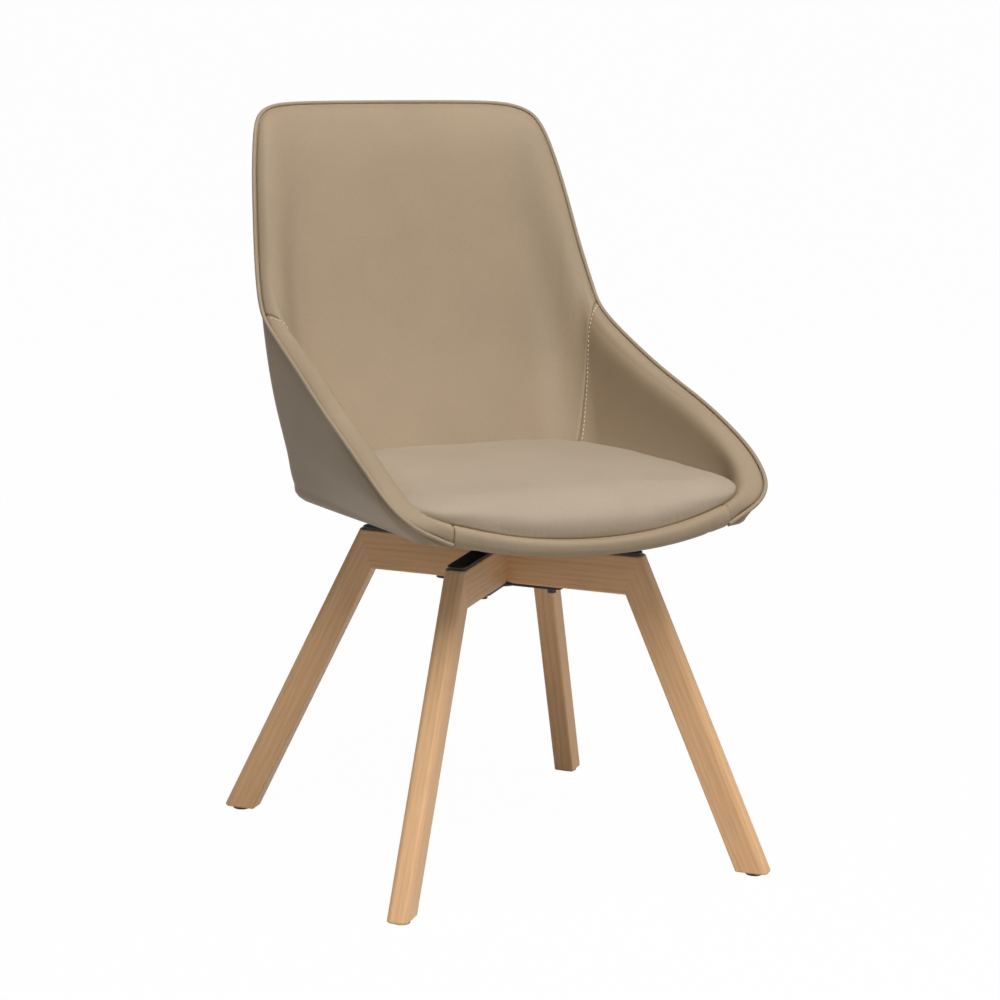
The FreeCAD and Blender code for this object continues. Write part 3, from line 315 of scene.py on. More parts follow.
def rough_coat(name, colour, roughness, grain_scale, grain_depth, metallic=0.0):
    """A plain coat with a fine uneven surface."""
    material = new_material(name)
    tree = material.node_tree
    place = add_node(tree, "ShaderNodeTexCoord")
    grain = add_node(tree, "ShaderNodeTexNoise", Scale=grain_scale, Detail=3.0)
    patches = add_node(tree, "ShaderNodeTexNoise", Scale=PATCH_SCALE, Detail=2.0)
    for source in (grain, patches):
        feed(tree, place.outputs["Object"], source.inputs["Vector"])
    bump = add_node(tree, "ShaderNodeBump", Strength=0.35, Distance=grain_depth)
    feed(tree, grain.outputs["Fac"], bump.inputs["Height"])
    uneven = ranged(tree, patches.outputs["Fac"], roughness - ROUGHNESS_SPREAD,
                    roughness + ROUGHNESS_SPREAD)
    pale = tuple(min(1.0, c * PATCH_LIFT) for c in colour[:3]) + (1,)
    tones = mixed_colour(tree, colour, pale, patches.outputs["Fac"])
    surface(tree, tones, uneven, bump, Metallic=metallic)
    return material


black_coat = rough_coat("black_powder_coat", COAT_BLACK, 0.5, 1600, 0.00008)
for plate in ("top_cross_plate", "bottom_cross_plate", "swivel_lower_plate", "swivel_upper_plate"):
    dress(plate, black_coat)

# Fasteners, balls and glides
# Black oxide bolts, nuts, washers and screws, polished steel balls in a nylon cage, a nylon bush on the
# pivot bolt and nylon discs under the feet.
OXIDE = (0.055, 0.055, 0.058, 1)
NYLON = (0.020, 0.020, 0.021, 1)
BALL = (0.62, 0.62, 0.64, 1)
oxide = rough_coat("black_oxide", OXIDE, 0.42, 900, 0.00004, metallic=0.9)
nylon = rough_coat("black_nylon", NYLON, 0.55, 700, 0.00006)
ball_steel = rough_coat("ball_steel", BALL, 0.16, 400, 0.00001, metallic=1.0)
for name in ("frame_bolts", "frame_washers", "frame_nuts", "glide_screws", "plate_wood_screws",
             "pivot_bolt", "pivot_nut", "seat_bolts", "seat_tee_nuts"):
    dress(name, oxide)
for name in ("ball_cage", "pivot_bush") + tuple(f"foot_glide_{corner}" for corner in CORNERS):
    dress(name, nylon)
dress("swivel_balls", ball_steel)

# Leather
# Smooth corrected leather in taupe, with a fine pebble grain and slow changes of tone. The cushion's hide
# is a little paler than the shell's and the piping's.
HIDE = (0.372, 0.281, 0.186, 1)
CUSHION_HIDE = (0.430, 0.347, 0.258, 1)
PIPING_HIDE = (0.372, 0.286, 0.196, 1)
TONE_SPREAD = 0.10
GRAIN_DEPTH = 0.00025
PIT_EDGES = (0.1, 0.6)
PIT_SHADE = 0.9
HIDE_ROUGHNESS = (0.48, 0.60)


def leather(name, colour):
    """Fine-grained leather with slow changes of tone."""
    material = new_material(name)
    tree = material.node_tree
    place = add_node(tree, "ShaderNodeTexCoord")
    grain = add_node(tree, "ShaderNodeTexVoronoi", Scale=900.0, feature="SMOOTH_F1")
    creases = add_node(tree, "ShaderNodeTexNoise", Scale=260.0, Detail=5.0, Roughness=0.6)
    tone = add_node(tree, "ShaderNodeTexNoise", Scale=9.0, Detail=3.0)
    for source in (grain, creases, tone):
        feed(tree, place.outputs["Object"], source.inputs["Vector"])
    bump = add_node(tree, "ShaderNodeBump", Strength=0.22, Distance=GRAIN_DEPTH)
    relief = reckon(tree, "ADD", grain.outputs["Distance"], creases.outputs["Fac"])
    feed(tree, relief, bump.inputs["Height"])
    dark = tuple(c * (1 - TONE_SPREAD) for c in colour[:3]) + (1,)
    light = tuple(c * (1 + TONE_SPREAD) for c in colour[:3]) + (1,)
    tones = mixed_colour(tree, dark, light, tone.outputs["Fac"])
    pits = ranged(tree, grain.outputs["Distance"], 1.0, PIT_SHADE, *PIT_EDGES)
    tint = mixed_colour(tree, tones, pits, 1.0, "MULTIPLY")
    shine = ranged(tree, creases.outputs["Fac"], *HIDE_ROUGHNESS)
    surface(tree, tint, shine, bump, Specular_IOR_Level=0.2)
    return material


hide = leather("taupe_leather", HIDE)
cushion_hide = leather("cushion_leather", CUSHION_HIDE)
piping_hide = leather("piping_leather", PIPING_HIDE)

# Form of the bucket
# The seat's wall is one smooth form through level outlines of its outside and its inside. Each row gives,
# in millimetres, the height over the floor, the half widths at front and rear, the reach of the rear, the
# rounding of the rear and front corners and the reach of the front.
OUTSIDE = [
    (400, 150, 190, 155.6, 67, 20, 240),
    (408, 187, 205, 172.5, 66, 22, 243.5),
    (426, 213, 214.5, 182.5, 77, 24, 246),
    (461, 245, 221, 199, 90, 34, 250),
    (522, 250, 225, 233, 90, 54, 250),
    (616, 244, 229, 267, 90, 60, 250),
    (738, 235, 225.5, 304, 90, 60, 250),
    (870, 222, 212, 342, 90, 60, 250),
]
INSIDE = [
    (424, 190, 150, 110, 50, 34, 212),
    (448, 212, 174, 130, 55, 38, 212),
    (482, 222, 184, 156, 60, 40, 212),
    (540, 226, 195, 194, 60, 40, 212),
    (629, 226, 198, 237, 60, 40, 212),
    (745, 220, 191, 277, 60, 40, 212),
    (870, 202, 183, 315, 60, 40, 212),
]
FRONT_BOW = 0.7
LEAN_ROUNDS = 6
# Shares of an outline's way taken up to the end of its rear line, rear corner, side, front corner, front
WAY = (0.0, 0.16, 0.36, 0.72, 0.86, 1.0)


def through(rows, height):
    """Smooth values between the rows of a table at heights, one row of answers for each height."""
    table = np.array(rows, float) * MM
    levels = table[:, 0]
    values = table[:, 1:]
    spans = np.diff(levels)[:, None]
    chords = np.diff(values, axis=0) / spans
    slopes = np.empty_like(values)
    slopes[0] = chords[0]
    slopes[-1] = chords[-1]
    slopes[1:-1] = (chords[:-1] * spans[1:] + chords[1:] * spans[:-1]) / (spans[:-1] + spans[1:])
    at = np.clip(height, levels[0], levels[-1])
    span = np.clip(np.searchsorted(levels, at) - 1, 0, len(levels) - 2)
    width = levels[span + 1] - levels[span]
    part = ((at - levels[span]) / width)[..., None]
    width = width[..., None]
    low, high, low_slope, high_slope = values[span], values[span + 1], slopes[span], slopes[span + 1]
    return ((1 + 2 * part) * (1 - part) ** 2 * low + part * (1 - part) ** 2 * width * low_slope
            + part ** 2 * (3 - 2 * part) * high + part ** 2 * (part - 1) * width * high_slope)


def wall(rows, way, height):
    """Points of the right half of a bucket's wall: way 0 is the middle of the rear, way 1 of the front."""
    wide, narrow, back, rear_arc, front_arc, ahead = np.moveaxis(through(rows, height), -1, 0)
    lean = np.zeros_like(back)
    bow_centre = FRONT_BOW - ahead
    for _ in range(LEAN_ROUNDS):
        rear_x = narrow - rear_arc * np.cos(lean)
        rear_y = back - rear_arc
        nose_x = wide - front_arc * np.cos(lean)
        nose_y = bow_centre - np.sqrt((FRONT_BOW - front_arc) ** 2 - nose_x ** 2)
        side_length = (rear_y + rear_arc * np.sin(lean)) - (nose_y + front_arc * np.sin(lean))
        lean = np.arctan2(wide - narrow, side_length)
    bow_angle = np.arctan2(nose_y - bow_centre, nose_x)
    parts = [np.clip((way - a) / (b - a), 0, 1) for a, b in zip(WAY, WAY[1:])]
    quarter = math.pi / 2
    rear_angle = quarter + (lean - quarter) * parts[1]
    nose_angle = lean + (bow_angle - lean) * parts[3]
    front_angle = bow_angle + (-quarter - bow_angle) * parts[4]
    rear_end = np.stack([rear_x + rear_arc * np.cos(lean), rear_y + rear_arc * np.sin(lean)], -1)
    side_end = np.stack([nose_x + front_arc * np.cos(lean), nose_y + front_arc * np.sin(lean)], -1)
    rear_line = np.stack([rear_x * parts[0], back], -1)
    rear_corner = np.stack([rear_x + rear_arc * np.cos(rear_angle),
                            rear_y + rear_arc * np.sin(rear_angle)], -1)
    side = rear_end + (side_end - rear_end) * parts[2][..., None]
    nose = np.stack([nose_x + front_arc * np.cos(nose_angle), nose_y + front_arc * np.sin(nose_angle)], -1)
    front = np.stack([FRONT_BOW * np.cos(front_angle), bow_centre + FRONT_BOW * np.sin(front_angle)], -1)
    flat = rear_line
    for limit, form in zip(WAY[1:], (rear_corner, side, nose, front)):
        flat = np.where((way > limit)[..., None], form, flat)
    return np.concatenate([flat, np.broadcast_to(height, way.shape)[..., None]], -1)


# Rim of the bucket
# The line of the piping, from the middle of the top round the wing and down the arm to the band at the
# front, and on along the lower edge of the band, with the shoulder line where the roll inside it turns
# down the inner wall. Points of the right half in millimetres; the left half mirrors them.
RIM = [
    (0, 338, 856), (60, 338, 856), (118, 337.5, 855.5), (150, 332, 854.5), (170, 324, 851.5),
    (184, 314, 845), (191, 307, 837), (197, 298, 824), (203, 286, 800), (209, 271, 768),
    (214, 255, 732), (218.5, 240, 696), (223, 223, 662), (226, 208, 636), (227, 195, 618),
    (227.5, 175, 606), (228, 146, 594), (230, 109, 580), (232, 71, 566.5), (236, 30, 552),
    (240, -11, 540), (243, -43, 530), (244.5, -74, 520), (246, -112, 506), (246, -146, 492.5),
    (244.5, -172, 479), (240, -196, 464.5), (231, -210, 452), (216, -216.5, 440), (196, -218.5, 430.5),
    (176, -222.3, 421.3), (150, -229, 414.5), (100, -238, 407.5), (50, -243, 403.8), (0, -245, 402.8),
]
SHOULDER = [
    (0, 309, 846), (60, 309, 846), (112, 308.5, 845.5), (138, 303.5, 844), (155, 294, 840),
    (164, 284, 834), (169, 276, 826), (172.5, 268, 813), (177, 257, 789), (182, 243, 757),
    (186, 227.5, 721), (190, 213, 685), (193, 197, 651), (195, 182.5, 626), (195.5, 170, 608.5),
    (196, 152, 596), (197, 126, 584), (198.5, 92, 571), (200.5, 56, 559), (204.5, 17, 545),
    (208, -20, 533), (210.5, -49, 523), (212.5, -78, 513), (214.5, -112, 499.5), (215, -140, 487),
    (213.5, -162, 474), (210.5, -179, 462), (205, -193, 454.5), (197, -202, 450.5),
    (188, -207.5, 447.5), (176, -214.5, 444.5), (148, -224, 437), (100, -229.5, 425.5),
    (50, -235.5, 420), (0, -237.5, 418.5),
]
# Points of both lines at the waist seam, between back and arm, and at the seam between arm and band
WAIST = 14
BAND_END = 30
SEAM_FOOT = (175, 138, 455)
DECK_HEIGHT = 0.4243
COLUMN_STEP = 0.0042
SEAM_STEPS = (0.0006, 0.0012, 0.0019, 0.0027)
PER_SPAN = 24
PIPING_OUT = 1.1
PIPING_STAND = 0.0024
PIPING_FADE_COLUMNS = 12
WAY_STEPS = 1600
CALMED_COLUMNS = 9


def smooth_line(points):
    """A cubic B-spline near the points of a half line whose ends lie on the mirror plane."""
    given = np.array(points, float) * MM
    flip = np.array([-1, 1, 1])
    padded = np.vstack([given[1] * flip, given, given[-2] * flip])
    t = np.linspace(0, 1, PER_SPAN, endpoint=False)[:, None]
    line = []
    for a, b, c, d in zip(padded, padded[1:], padded[2:], padded[3:]):
        line.append(((1 - t) ** 3 * a + (3 * t ** 3 - 6 * t ** 2 + 4) * b
                     + (-3 * t ** 3 + 3 * t ** 2 + 3 * t + 1) * c + t ** 3 * d) / 6)
    end = (padded[-3] + 4 * padded[-2] + padded[-1]) / 6
    return np.vstack(line + [end[None]])


def along(line, shares):
    """Points at shares of the length of a line."""
    ways = np.concatenate([[0], np.cumsum(np.linalg.norm(np.diff(line, axis=0), axis=1))])
    return np.stack([np.interp(shares * ways[-1], ways, line[:, k]) for k in range(3)], -1)


def eased(value, start, end):
    """0 before start, 1 after end and smooth between."""
    part = np.clip((value - start) / (end - start), 0, 1)
    return part * part * (3 - 2 * part)


fine_rim = smooth_line(RIM)
fine_shoulder = smooth_line(SHOULDER)
rim_parts = []
shoulder_parts = []
share_parts = []
for first, last in ((0, WAIST), (WAIST, BAND_END), (BAND_END, len(RIM) - 1)):
    stretch = fine_rim[first * PER_SPAN:last * PER_SPAN + 1]
    length = np.linalg.norm(np.diff(stretch, axis=0), axis=1).sum()
    shares = list(np.linspace(0, 1, round(length / COLUMN_STEP) + 1))
    shares += [step / length for step in SEAM_STEPS if first > 0]
    shares += [1 - step / length for step in SEAM_STEPS if last < len(RIM) - 1]
    shares = np.array(sorted(shares))
    keep = slice(0 if first == 0 else 1, None)
    rim_parts.append(along(stretch, shares)[keep])
    shoulder_parts.append(along(fine_shoulder[first * PER_SPAN:last * PER_SPAN + 1], shares)[keep])
    share_parts.append(shares[keep])
rim = np.vstack(rim_parts)
shoulder = np.vstack(shoulder_parts)
WAIST_COLUMN = len(rim_parts[0]) - 1
BAND_COLUMN = WAIST_COLUMN + len(rim_parts[1])
rim_ways_length = np.concatenate([[0], np.cumsum(np.linalg.norm(np.diff(rim, axis=0), axis=1))])


def calmed(values):
    """A running mean over a few columns."""
    padded = np.pad(values, CALMED_COLUMNS // 2, mode="edge")
    return np.convolve(padded, np.ones(CALMED_COLUMNS) / CALMED_COLUMNS, "valid")


def nearest_way(rows, line):
    """For each point of a line, the way along the wall at its height that comes nearest to it."""
    ways = np.linspace(0, 1, WAY_STEPS)
    answer = []
    for point in line:
        ring = wall(rows, ways, np.full(ways.shape, point[2]))
        answer.append(ways[np.argmin(np.linalg.norm(ring[:, :2] - point[:2], axis=1))])
    return calmed(answer)


def way_of(rows, point):
    """The way along the wall that comes nearest to a point in millimetres."""
    return float(nearest_way(rows, [np.array(point) * MM])[0])


def spread(marks):
    """Values that pass evenly, by the shares of each stretch, from mark to mark."""
    parts = [a + (b - a) * s for a, b, s in zip(marks, marks[1:], share_parts)]
    return np.concatenate(parts)


tangent = np.gradient(rim, axis=0)
tangent /= np.linalg.norm(tangent, axis=1)[:, None]
inward = shoulder - rim
inward /= np.linalg.norm(inward, axis=1)[:, None]
swell = -np.cross(tangent, inward)
swell /= np.linalg.norm(swell, axis=1)[:, None]
bisector = swell * PIPING_OUT - inward
bisector /= np.linalg.norm(bisector, axis=1)[:, None]
piping_middle = rim[:BAND_COLUMN + 1]
set_in = PIPING_STAND * eased(-np.arange(len(rim)), -BAND_COLUMN, -BAND_COLUMN + PIPING_FADE_COLUMNS)
rim = rim - bisector * set_in[:, None]

# Leather of the inside and the band
# Three sewn panels over foam, the back and two arms, and a band under the cushion. They are one net of
# points, whose columns run from the piping over the roll of the rim and down the inner wall to the deck.
ROLL_ROWS = 16
WALL_ROWS = 64
LEAVE_ANGLE = math.radians(52)
LEAVE_HANDLE = 0.0105
SHOULDER_HANDLE = 0.0125
INNER_ROWS = 84
ROW_CLOSENESS = 1.5
BACK_EASING = 0.024
ARM_EASING = 0.020
EASING_SHARE = 0.075
EASING_POINTS = 360
CALM_LENGTH = 0.155
CALM_START = 0.75
CALM_ANGLE = math.radians(24)
CALM_SHARE = 0.97
CALM_HEIGHTS = (0.575, 0.68)
HEADING_REACH = 3
ROOM_SHARE = 0.45
LEAST_REACH = 1e-5
# Columns before and after the waist seam over which the back's easing turns into the arms'
EASING_BEFORE_WAIST = 40
EASING_AFTER_WAIST = 12

leave = inward * math.cos(LEAVE_ANGLE) + swell * math.sin(LEAVE_ANGLE)
first_handle = rim + leave * LEAVE_HANDLE
last_handle = shoulder + swell * SHOULDER_HANDLE
roll_net = []
for t in np.linspace(0, 1, ROLL_ROWS, endpoint=False):
    roll_net.append((1 - t) ** 3 * rim + 3 * t * (1 - t) ** 2 * first_handle
                    + 3 * t ** 2 * (1 - t) * last_handle + t ** 3 * shoulder)
shoulder_ways = nearest_way(INSIDE, shoulder)
shoulder_on_wall = wall(INSIDE, shoulder_ways, shoulder[:, 2])
deck_ways = spread([0.0, way_of(INSIDE, SEAM_FOOT), way_of(INSIDE, SHOULDER[BAND_END]), 1.0])
wall_net = []
for t in np.linspace(0, 1, WALL_ROWS):
    height = shoulder[:, 2] + (DECK_HEIGHT - shoulder[:, 2]) * t
    way = shoulder_ways + (deck_ways - shoulder_ways) * t
    wall_net.append(wall(INSIDE, way, height) + (shoulder - shoulder_on_wall) * (1 - t) ** 2)
stiff_net = np.array(roll_net + wall_net).transpose(1, 0, 2)


def softened(column, easing, leave, calm):
    """A column as foam and leather take it: its bends eased, its ends kept, its rows close near the rim."""
    length = np.linalg.norm(np.diff(column, axis=0), axis=1).sum()
    shares = np.linspace(0, 1, EASING_POINTS)
    even = along(column, shares)
    last = min(int(CALM_LENGTH / length * EASING_POINTS), EASING_POINTS - HEADING_REACH - 1)
    heading = even[last + HEADING_REACH] - even[last - HEADING_REACH]
    chord = np.linalg.norm(even[last] - even[0])
    heading = heading / np.linalg.norm(heading) * chord
    t = np.linspace(0, 1, last + 1)[:, None]
    sweep = ((1 + 2 * t) * (1 - t) ** 2 * even[0] + t * (1 - t) ** 2 * leave * chord * CALM_START
             + t ** 2 * (3 - 2 * t) * even[last] + t ** 2 * (t - 1) * heading)
    even[:last + 1] = even[:last + 1] * (1 - calm) + sweep * calm
    room = np.minimum(shares, 1 - shares)
    reach = np.clip(np.minimum(room * ROOM_SHARE, easing / length), LEAST_REACH, EASING_SHARE)[:, None]
    weights = np.exp(-0.5 * ((shares[None] - shares[:, None]) / reach) ** 2)
    eased_line = weights @ even / weights.sum(axis=1)[:, None]
    return along(eased_line, np.linspace(0, 1, INNER_ROWS) ** ROW_CLOSENESS)


back_share = eased(-np.arange(len(rim)), -WAIST_COLUMN - EASING_AFTER_WAIST,
                   -WAIST_COLUMN + EASING_BEFORE_WAIST)
easings = ARM_EASING + (BACK_EASING - ARM_EASING) * back_share
calm_leave = inward * math.cos(CALM_ANGLE) + swell * math.sin(CALM_ANGLE)
calms = CALM_SHARE * eased(rim[:, 2], *CALM_HEIGHTS)
inner_net = np.array([softened(*each) for each in zip(stiff_net, easings, calm_leave, calms)])

# Leather of the outside
# A back panel and two side panels, pulled over the plywood from the piping down to the underside. They
# are one net of points, whose columns run down the outer wall.
OUTER_ROWS = 70
FOOT_EVENNESS = 0.35
END_COLUMNS = 14
# The lower edge climbs from the rear to the arm's front end, at shares of its way to the band
FOOT_SHARES = (0, 0.30, 0.394, 0.495, 0.58, 0.67, 0.744, 0.824, 0.915, 0.97, 1.0)
FOOT_HEIGHTS = (403.2, 405, 407.5, 411, 414.5, 418.5, 421, 422, 422, 420.5, 418.5)
rim_ways = nearest_way(OUTSIDE, rim[:BAND_COLUMN + 1])
rim_on_wall = wall(OUTSIDE, rim_ways, rim[:BAND_COLUMN + 1, 2])
foot_shares = rim_ways_length[:BAND_COLUMN + 1] / rim_ways_length[BAND_COLUMN]
foot_ways = rim_ways[-1] * (FOOT_EVENNESS * foot_shares + (1 - FOOT_EVENNESS) * rim_ways / rim_ways[-1])
foot_height = calmed(np.interp(foot_ways / foot_ways[-1], FOOT_SHARES, FOOT_HEIGHTS) * MM)
end_share = eased(np.arange(BAND_COLUMN + 1), BAND_COLUMN - END_COLUMNS, BAND_COLUMN)
outer_net = []
for t in np.linspace(0, 1, OUTER_ROWS):
    height = rim[:BAND_COLUMN + 1, 2] + (foot_height - rim[:BAND_COLUMN + 1, 2]) * t
    way = rim_ways + (foot_ways - rim_ways) * t
    keep = (1 - t) ** 2
    keep = keep + (1 - keep) * end_share
    on_wall = wall(OUTSIDE, way, height) + (rim[:BAND_COLUMN + 1] - rim_on_wall) * keep[:, None]
    straight = rim[:BAND_COLUMN + 1] * np.array([1, 1, 0]) + height[:, None] * np.array([0, 0, 1])
    outer_net.append(on_wall + (straight - on_wall) * end_share[:, None])
outer_net = np.array(outer_net).transpose(1, 0, 2)


def net_normals(net):
    """Unit normals of a net of points, across its rows and columns."""
    down = np.gradient(net, axis=1)
    side = np.gradient(net, axis=0)
    normal = np.cross(side, down)
    size = np.linalg.norm(normal, axis=2)[..., None]
    return normal / np.maximum(size, 1e-12)


MIRROR = np.array([-1, 1, 1])


def whole(net):
    """A net of the right half, made whole by its mirror image."""
    return np.concatenate([net[:0:-1] * MIRROR, net])


def outward(piece):
    """Closes doubled points of a mesh and turns its faces outwards."""
    bm = bmesh.new()
    bm.from_mesh(piece.data)
    bmesh.ops.remove_doubles(bm, verts=bm.verts, dist=1e-6)
    bmesh.ops.recalc_face_normals(bm, faces=bm.faces)
    bm.to_mesh(piece.data)
    bm.free()


def panel(name, net, material, thickness, facing):
    """A sewn panel: a net of points, given a thickness behind its face."""
    count, rows = net.shape[:2]
    index = np.arange(count * rows).reshape(count, rows)
    a, b, c, d = index[:-1, :-1], index[1:, :-1], index[1:, 1:], index[:-1, 1:]
    faces = np.stack([a, b, c, d], -1).reshape(-1, 4)
    normal = net_normals(net)
    middle = normal[count // 2, rows // 2]
    if np.dot(middle, facing) < 0:
        faces = faces[:, ::-1]
        normal = -normal
    back = net - normal * thickness
    rear = faces[:, ::-1] + count * rows
    border = list(index[0, :]) + list(index[1:, -1]) + list(index[-1, -2::-1]) + list(index[-2:0:-1, 0])
    rim_faces = []
    for i, first in enumerate(border):
        second = border[(i + 1) % len(border)]
        rim_faces.append((first, second, second + count * rows, first + count * rows))
    vertices = np.concatenate([net.reshape(-1, 3), back.reshape(-1, 3)])
    piece = mesh_piece(name, vertices, list(faces) + list(rear) + rim_faces, material)
    outward(piece)
    return piece


# Sewn panels
# Each panel's edge is turned in where it is sewn to its neighbour, and pulled down beside the piping. The
# band stands a little proud of the arms and folds in once near each of its ends.
SEAM_DEPTH = 0.0018
SEAM_REACH = 0.0016
SEAM_SHARPNESS = 1.3


def tucked(net, column, sign):
    """A net whose points near a seam column sink behind its face."""
    distance = np.linalg.norm(net - net[column], axis=2)
    depth = SEAM_DEPTH * np.exp(-(distance / SEAM_REACH) ** SEAM_SHARPNESS)
    return net - sign * net_normals(net) * depth[..., None]


SKIN = 0.0012
PAD = 0.006
BAND_PROUD = 0.0014
BAND_RISE = 0.0012
BAND_FADE = 0.014
FOLD_AWAY = 0.030
FOLD_WIDTH = 0.003
FOLD_DEPTH = 0.0007
BAND_LEVEL = (0.25, 0.55)
PIPING_SEAM_DEPTH = 0.0026
PIPING_SEAM_REACH = 0.0021
PIPING_SEAM_SHARPNESS = 1.6
from_rim = np.linalg.norm(inner_net - inner_net[:, :1], axis=2)
piping_seam = PIPING_SEAM_DEPTH * np.exp(-(from_rim / PIPING_SEAM_REACH) ** PIPING_SEAM_SHARPNESS)
inner_net = inner_net - swell[:, None] * piping_seam[..., None]
inner_sign = 1 if net_normals(inner_net)[0, INNER_ROWS // 2, 1] < 0 else -1
inner_net = tucked(inner_net, WAIST_COLUMN, inner_sign)
inner_net = tucked(inner_net, BAND_COLUMN, inner_sign)

band_away = np.linalg.norm(inner_net[BAND_COLUMN:] - inner_net[BAND_COLUMN], axis=2)
band_lift = BAND_PROUD * eased(band_away, 0.0, BAND_RISE) * np.exp(-(band_away / BAND_FADE) ** 2)
band_lift = band_lift - FOLD_DEPTH * np.exp(-((band_away - FOLD_AWAY) / FOLD_WIDTH) ** 2)
band_lift = band_lift * (1 - eased(np.linspace(0, 1, INNER_ROWS), *BAND_LEVEL))
inner_net[BAND_COLUMN:] += inner_sign * net_normals(inner_net)[BAND_COLUMN:] * band_lift[..., None]
inner_back = panel("inner_back_panel", whole(inner_net[:WAIST_COLUMN + 1]), hide, PAD, (0, -1, 0.2))
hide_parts("inner_back_cover", "back_foam")
for hand, flip in (("right", 1), ("left", -1)):
    net = inner_net[WAIST_COLUMN:BAND_COLUMN + 1] * np.array([flip, 1, 1])
    inner_arm = panel(f"inner_arm_panel_{hand}", net, hide, PAD, (-flip, 0, 0.2))
    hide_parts(f"inner_arm_cover_{hand}", f"arm_foam_{hand}")
    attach(inner_arm, "seat")
front_band = panel("front_band_panel", whole(inner_net[BAND_COLUMN:][::-1]), hide, PAD, (0, -1, 0.2))
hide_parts("front_band")

BACK_SEAM_ACROSS = 0.140
back_edge = int(np.argmin(np.abs(outer_net[:, 0, 0] - BACK_SEAM_ACROSS)))
outer_back = panel("outer_back_panel", whole(outer_net[:back_edge + 1]), hide, SKIN, (0, 1, 0))
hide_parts("outer_back_cover")
for piece in (inner_back, front_band, outer_back):
    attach(piece, "seat")
for hand, flip in (("right", 1), ("left", -1)):
    net = outer_net[back_edge:] * np.array([flip, 1, 1])
    outer_side = panel(f"outer_side_panel_{hand}", net, hide, SKIN, (flip, 0, 0))
    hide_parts(f"outer_side_cover_{hand}")
    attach(outer_side, "seat")

# Stitches
# A single row of off-white thread on the arm's side of each waist seam, from the roll to the cushion. Each
# stitch is 3.6 mm long and sinks a little into the leather at both its ends.
THREAD = (0.70, 0.62, 0.50, 1)
STITCH_PITCH = 0.0056
STITCH_LENGTH = 0.0036
STITCH_THICKNESS = 0.0009
STITCH_AWAY = 0.0058
STITCH_START = 0.010
STITCH_END_HEIGHT = 0.452
STITCH_LIFT = 0.25
ARM_COLUMNS = 14
MIDDLE_COLUMN = 4
BEAD_SEGMENTS = 8
BEAD_RINGS = 6
thread = rough_coat("off_white_thread", THREAD, 0.7, 5000, 0.00005)
seam_line = []
for row in range(INNER_ROWS):
    across = inner_net[WAIST_COLUMN:WAIST_COLUMN + ARM_COLUMNS, row]
    gone = np.linalg.norm(across - across[0], axis=1)
    seam_line.append([np.interp(STITCH_AWAY, gone, across[:, k]) for k in range(3)])
arm_normals = inner_sign * net_normals(inner_net)[WAIST_COLUMN + MIDDLE_COLUMN]
seam_line = np.array(seam_line) + arm_normals * STITCH_THICKNESS * STITCH_LIFT
gone = np.concatenate([[0], np.cumsum(np.linalg.norm(np.diff(seam_line, axis=0), axis=1))])
seam_line = seam_line[(gone > STITCH_START) & (seam_line[:, 2] > STITCH_END_HEIGHT)]
both = np.concatenate([seam_line, seam_line * MIRROR])
half_count = len(seam_line)
path_edges = [(k, k + 1) for k in range(2 * half_count - 1) if k != half_count - 1]
stitch_mesh = bpy.data.meshes.new("stitch_lines")
stitch_mesh.from_pydata([tuple(p) for p in both], path_edges, [])
stitch_lines = bpy.data.objects.new("stitch_lines", stitch_mesh)
scene.collection.objects.link(stitch_lines)

stitching = bpy.data.node_groups.new("stitching", "GeometryNodeTree")
stitching.interface.new_socket("Lines", in_out="INPUT", socket_type="NodeSocketGeometry")
sockets = {}
for label in ("Pitch", "Length", "Thickness"):
    socket = stitching.interface.new_socket(label, in_out="INPUT", socket_type="NodeSocketFloat")
    sockets[label] = socket.identifier
stitching.interface.new_socket("Stitches", in_out="OUTPUT", socket_type="NodeSocketGeometry")
given = stitching.nodes.new("NodeGroupInput")
made = stitching.nodes.new("NodeGroupOutput")
to_curve = stitching.nodes.new("GeometryNodeMeshToCurve")
to_points = add_node(stitching, "GeometryNodeCurveToPoints", mode="LENGTH")
bead = add_node(stitching, "GeometryNodeMeshUVSphere", Segments=BEAD_SEGMENTS, Rings=BEAD_RINGS, Radius=0.5)
turn = add_node(stitching, "FunctionNodeAlignRotationToVector", axis="Z")
size = stitching.nodes.new("ShaderNodeCombineXYZ")
place = stitching.nodes.new("GeometryNodeInstanceOnPoints")
real = stitching.nodes.new("GeometryNodeRealizeInstances")
finish = add_node(stitching, "GeometryNodeSetMaterial", Material=thread)
for source, target in (
        (given.outputs["Lines"], to_curve.inputs[0]), (to_curve.outputs[0], to_points.inputs["Curve"]),
        (given.outputs["Pitch"], to_points.inputs["Length"]),
        (to_points.outputs["Points"], place.inputs["Points"]),
        (to_points.outputs["Tangent"], turn.inputs["Vector"]), (turn.outputs[0], place.inputs["Rotation"]),
        (given.outputs["Thickness"], size.inputs["X"]), (given.outputs["Thickness"], size.inputs["Y"]),
        (given.outputs["Length"], size.inputs["Z"]), (size.outputs[0], place.inputs["Scale"]),
        (bead.outputs["Mesh"], place.inputs["Instance"]), (place.outputs[0], real.inputs[0]),
        (real.outputs[0], finish.inputs[0]), (finish.outputs[0], made.inputs[0])):
    stitching.links.new(source, target)
sewn = stitch_lines.modifiers.new("stitching", "NODES")
sewn.node_group = stitching
for label, value in (("Pitch", STITCH_PITCH), ("Length", STITCH_LENGTH), ("Thickness", STITCH_THICKNESS)):
    sewn[sockets[label]] = value


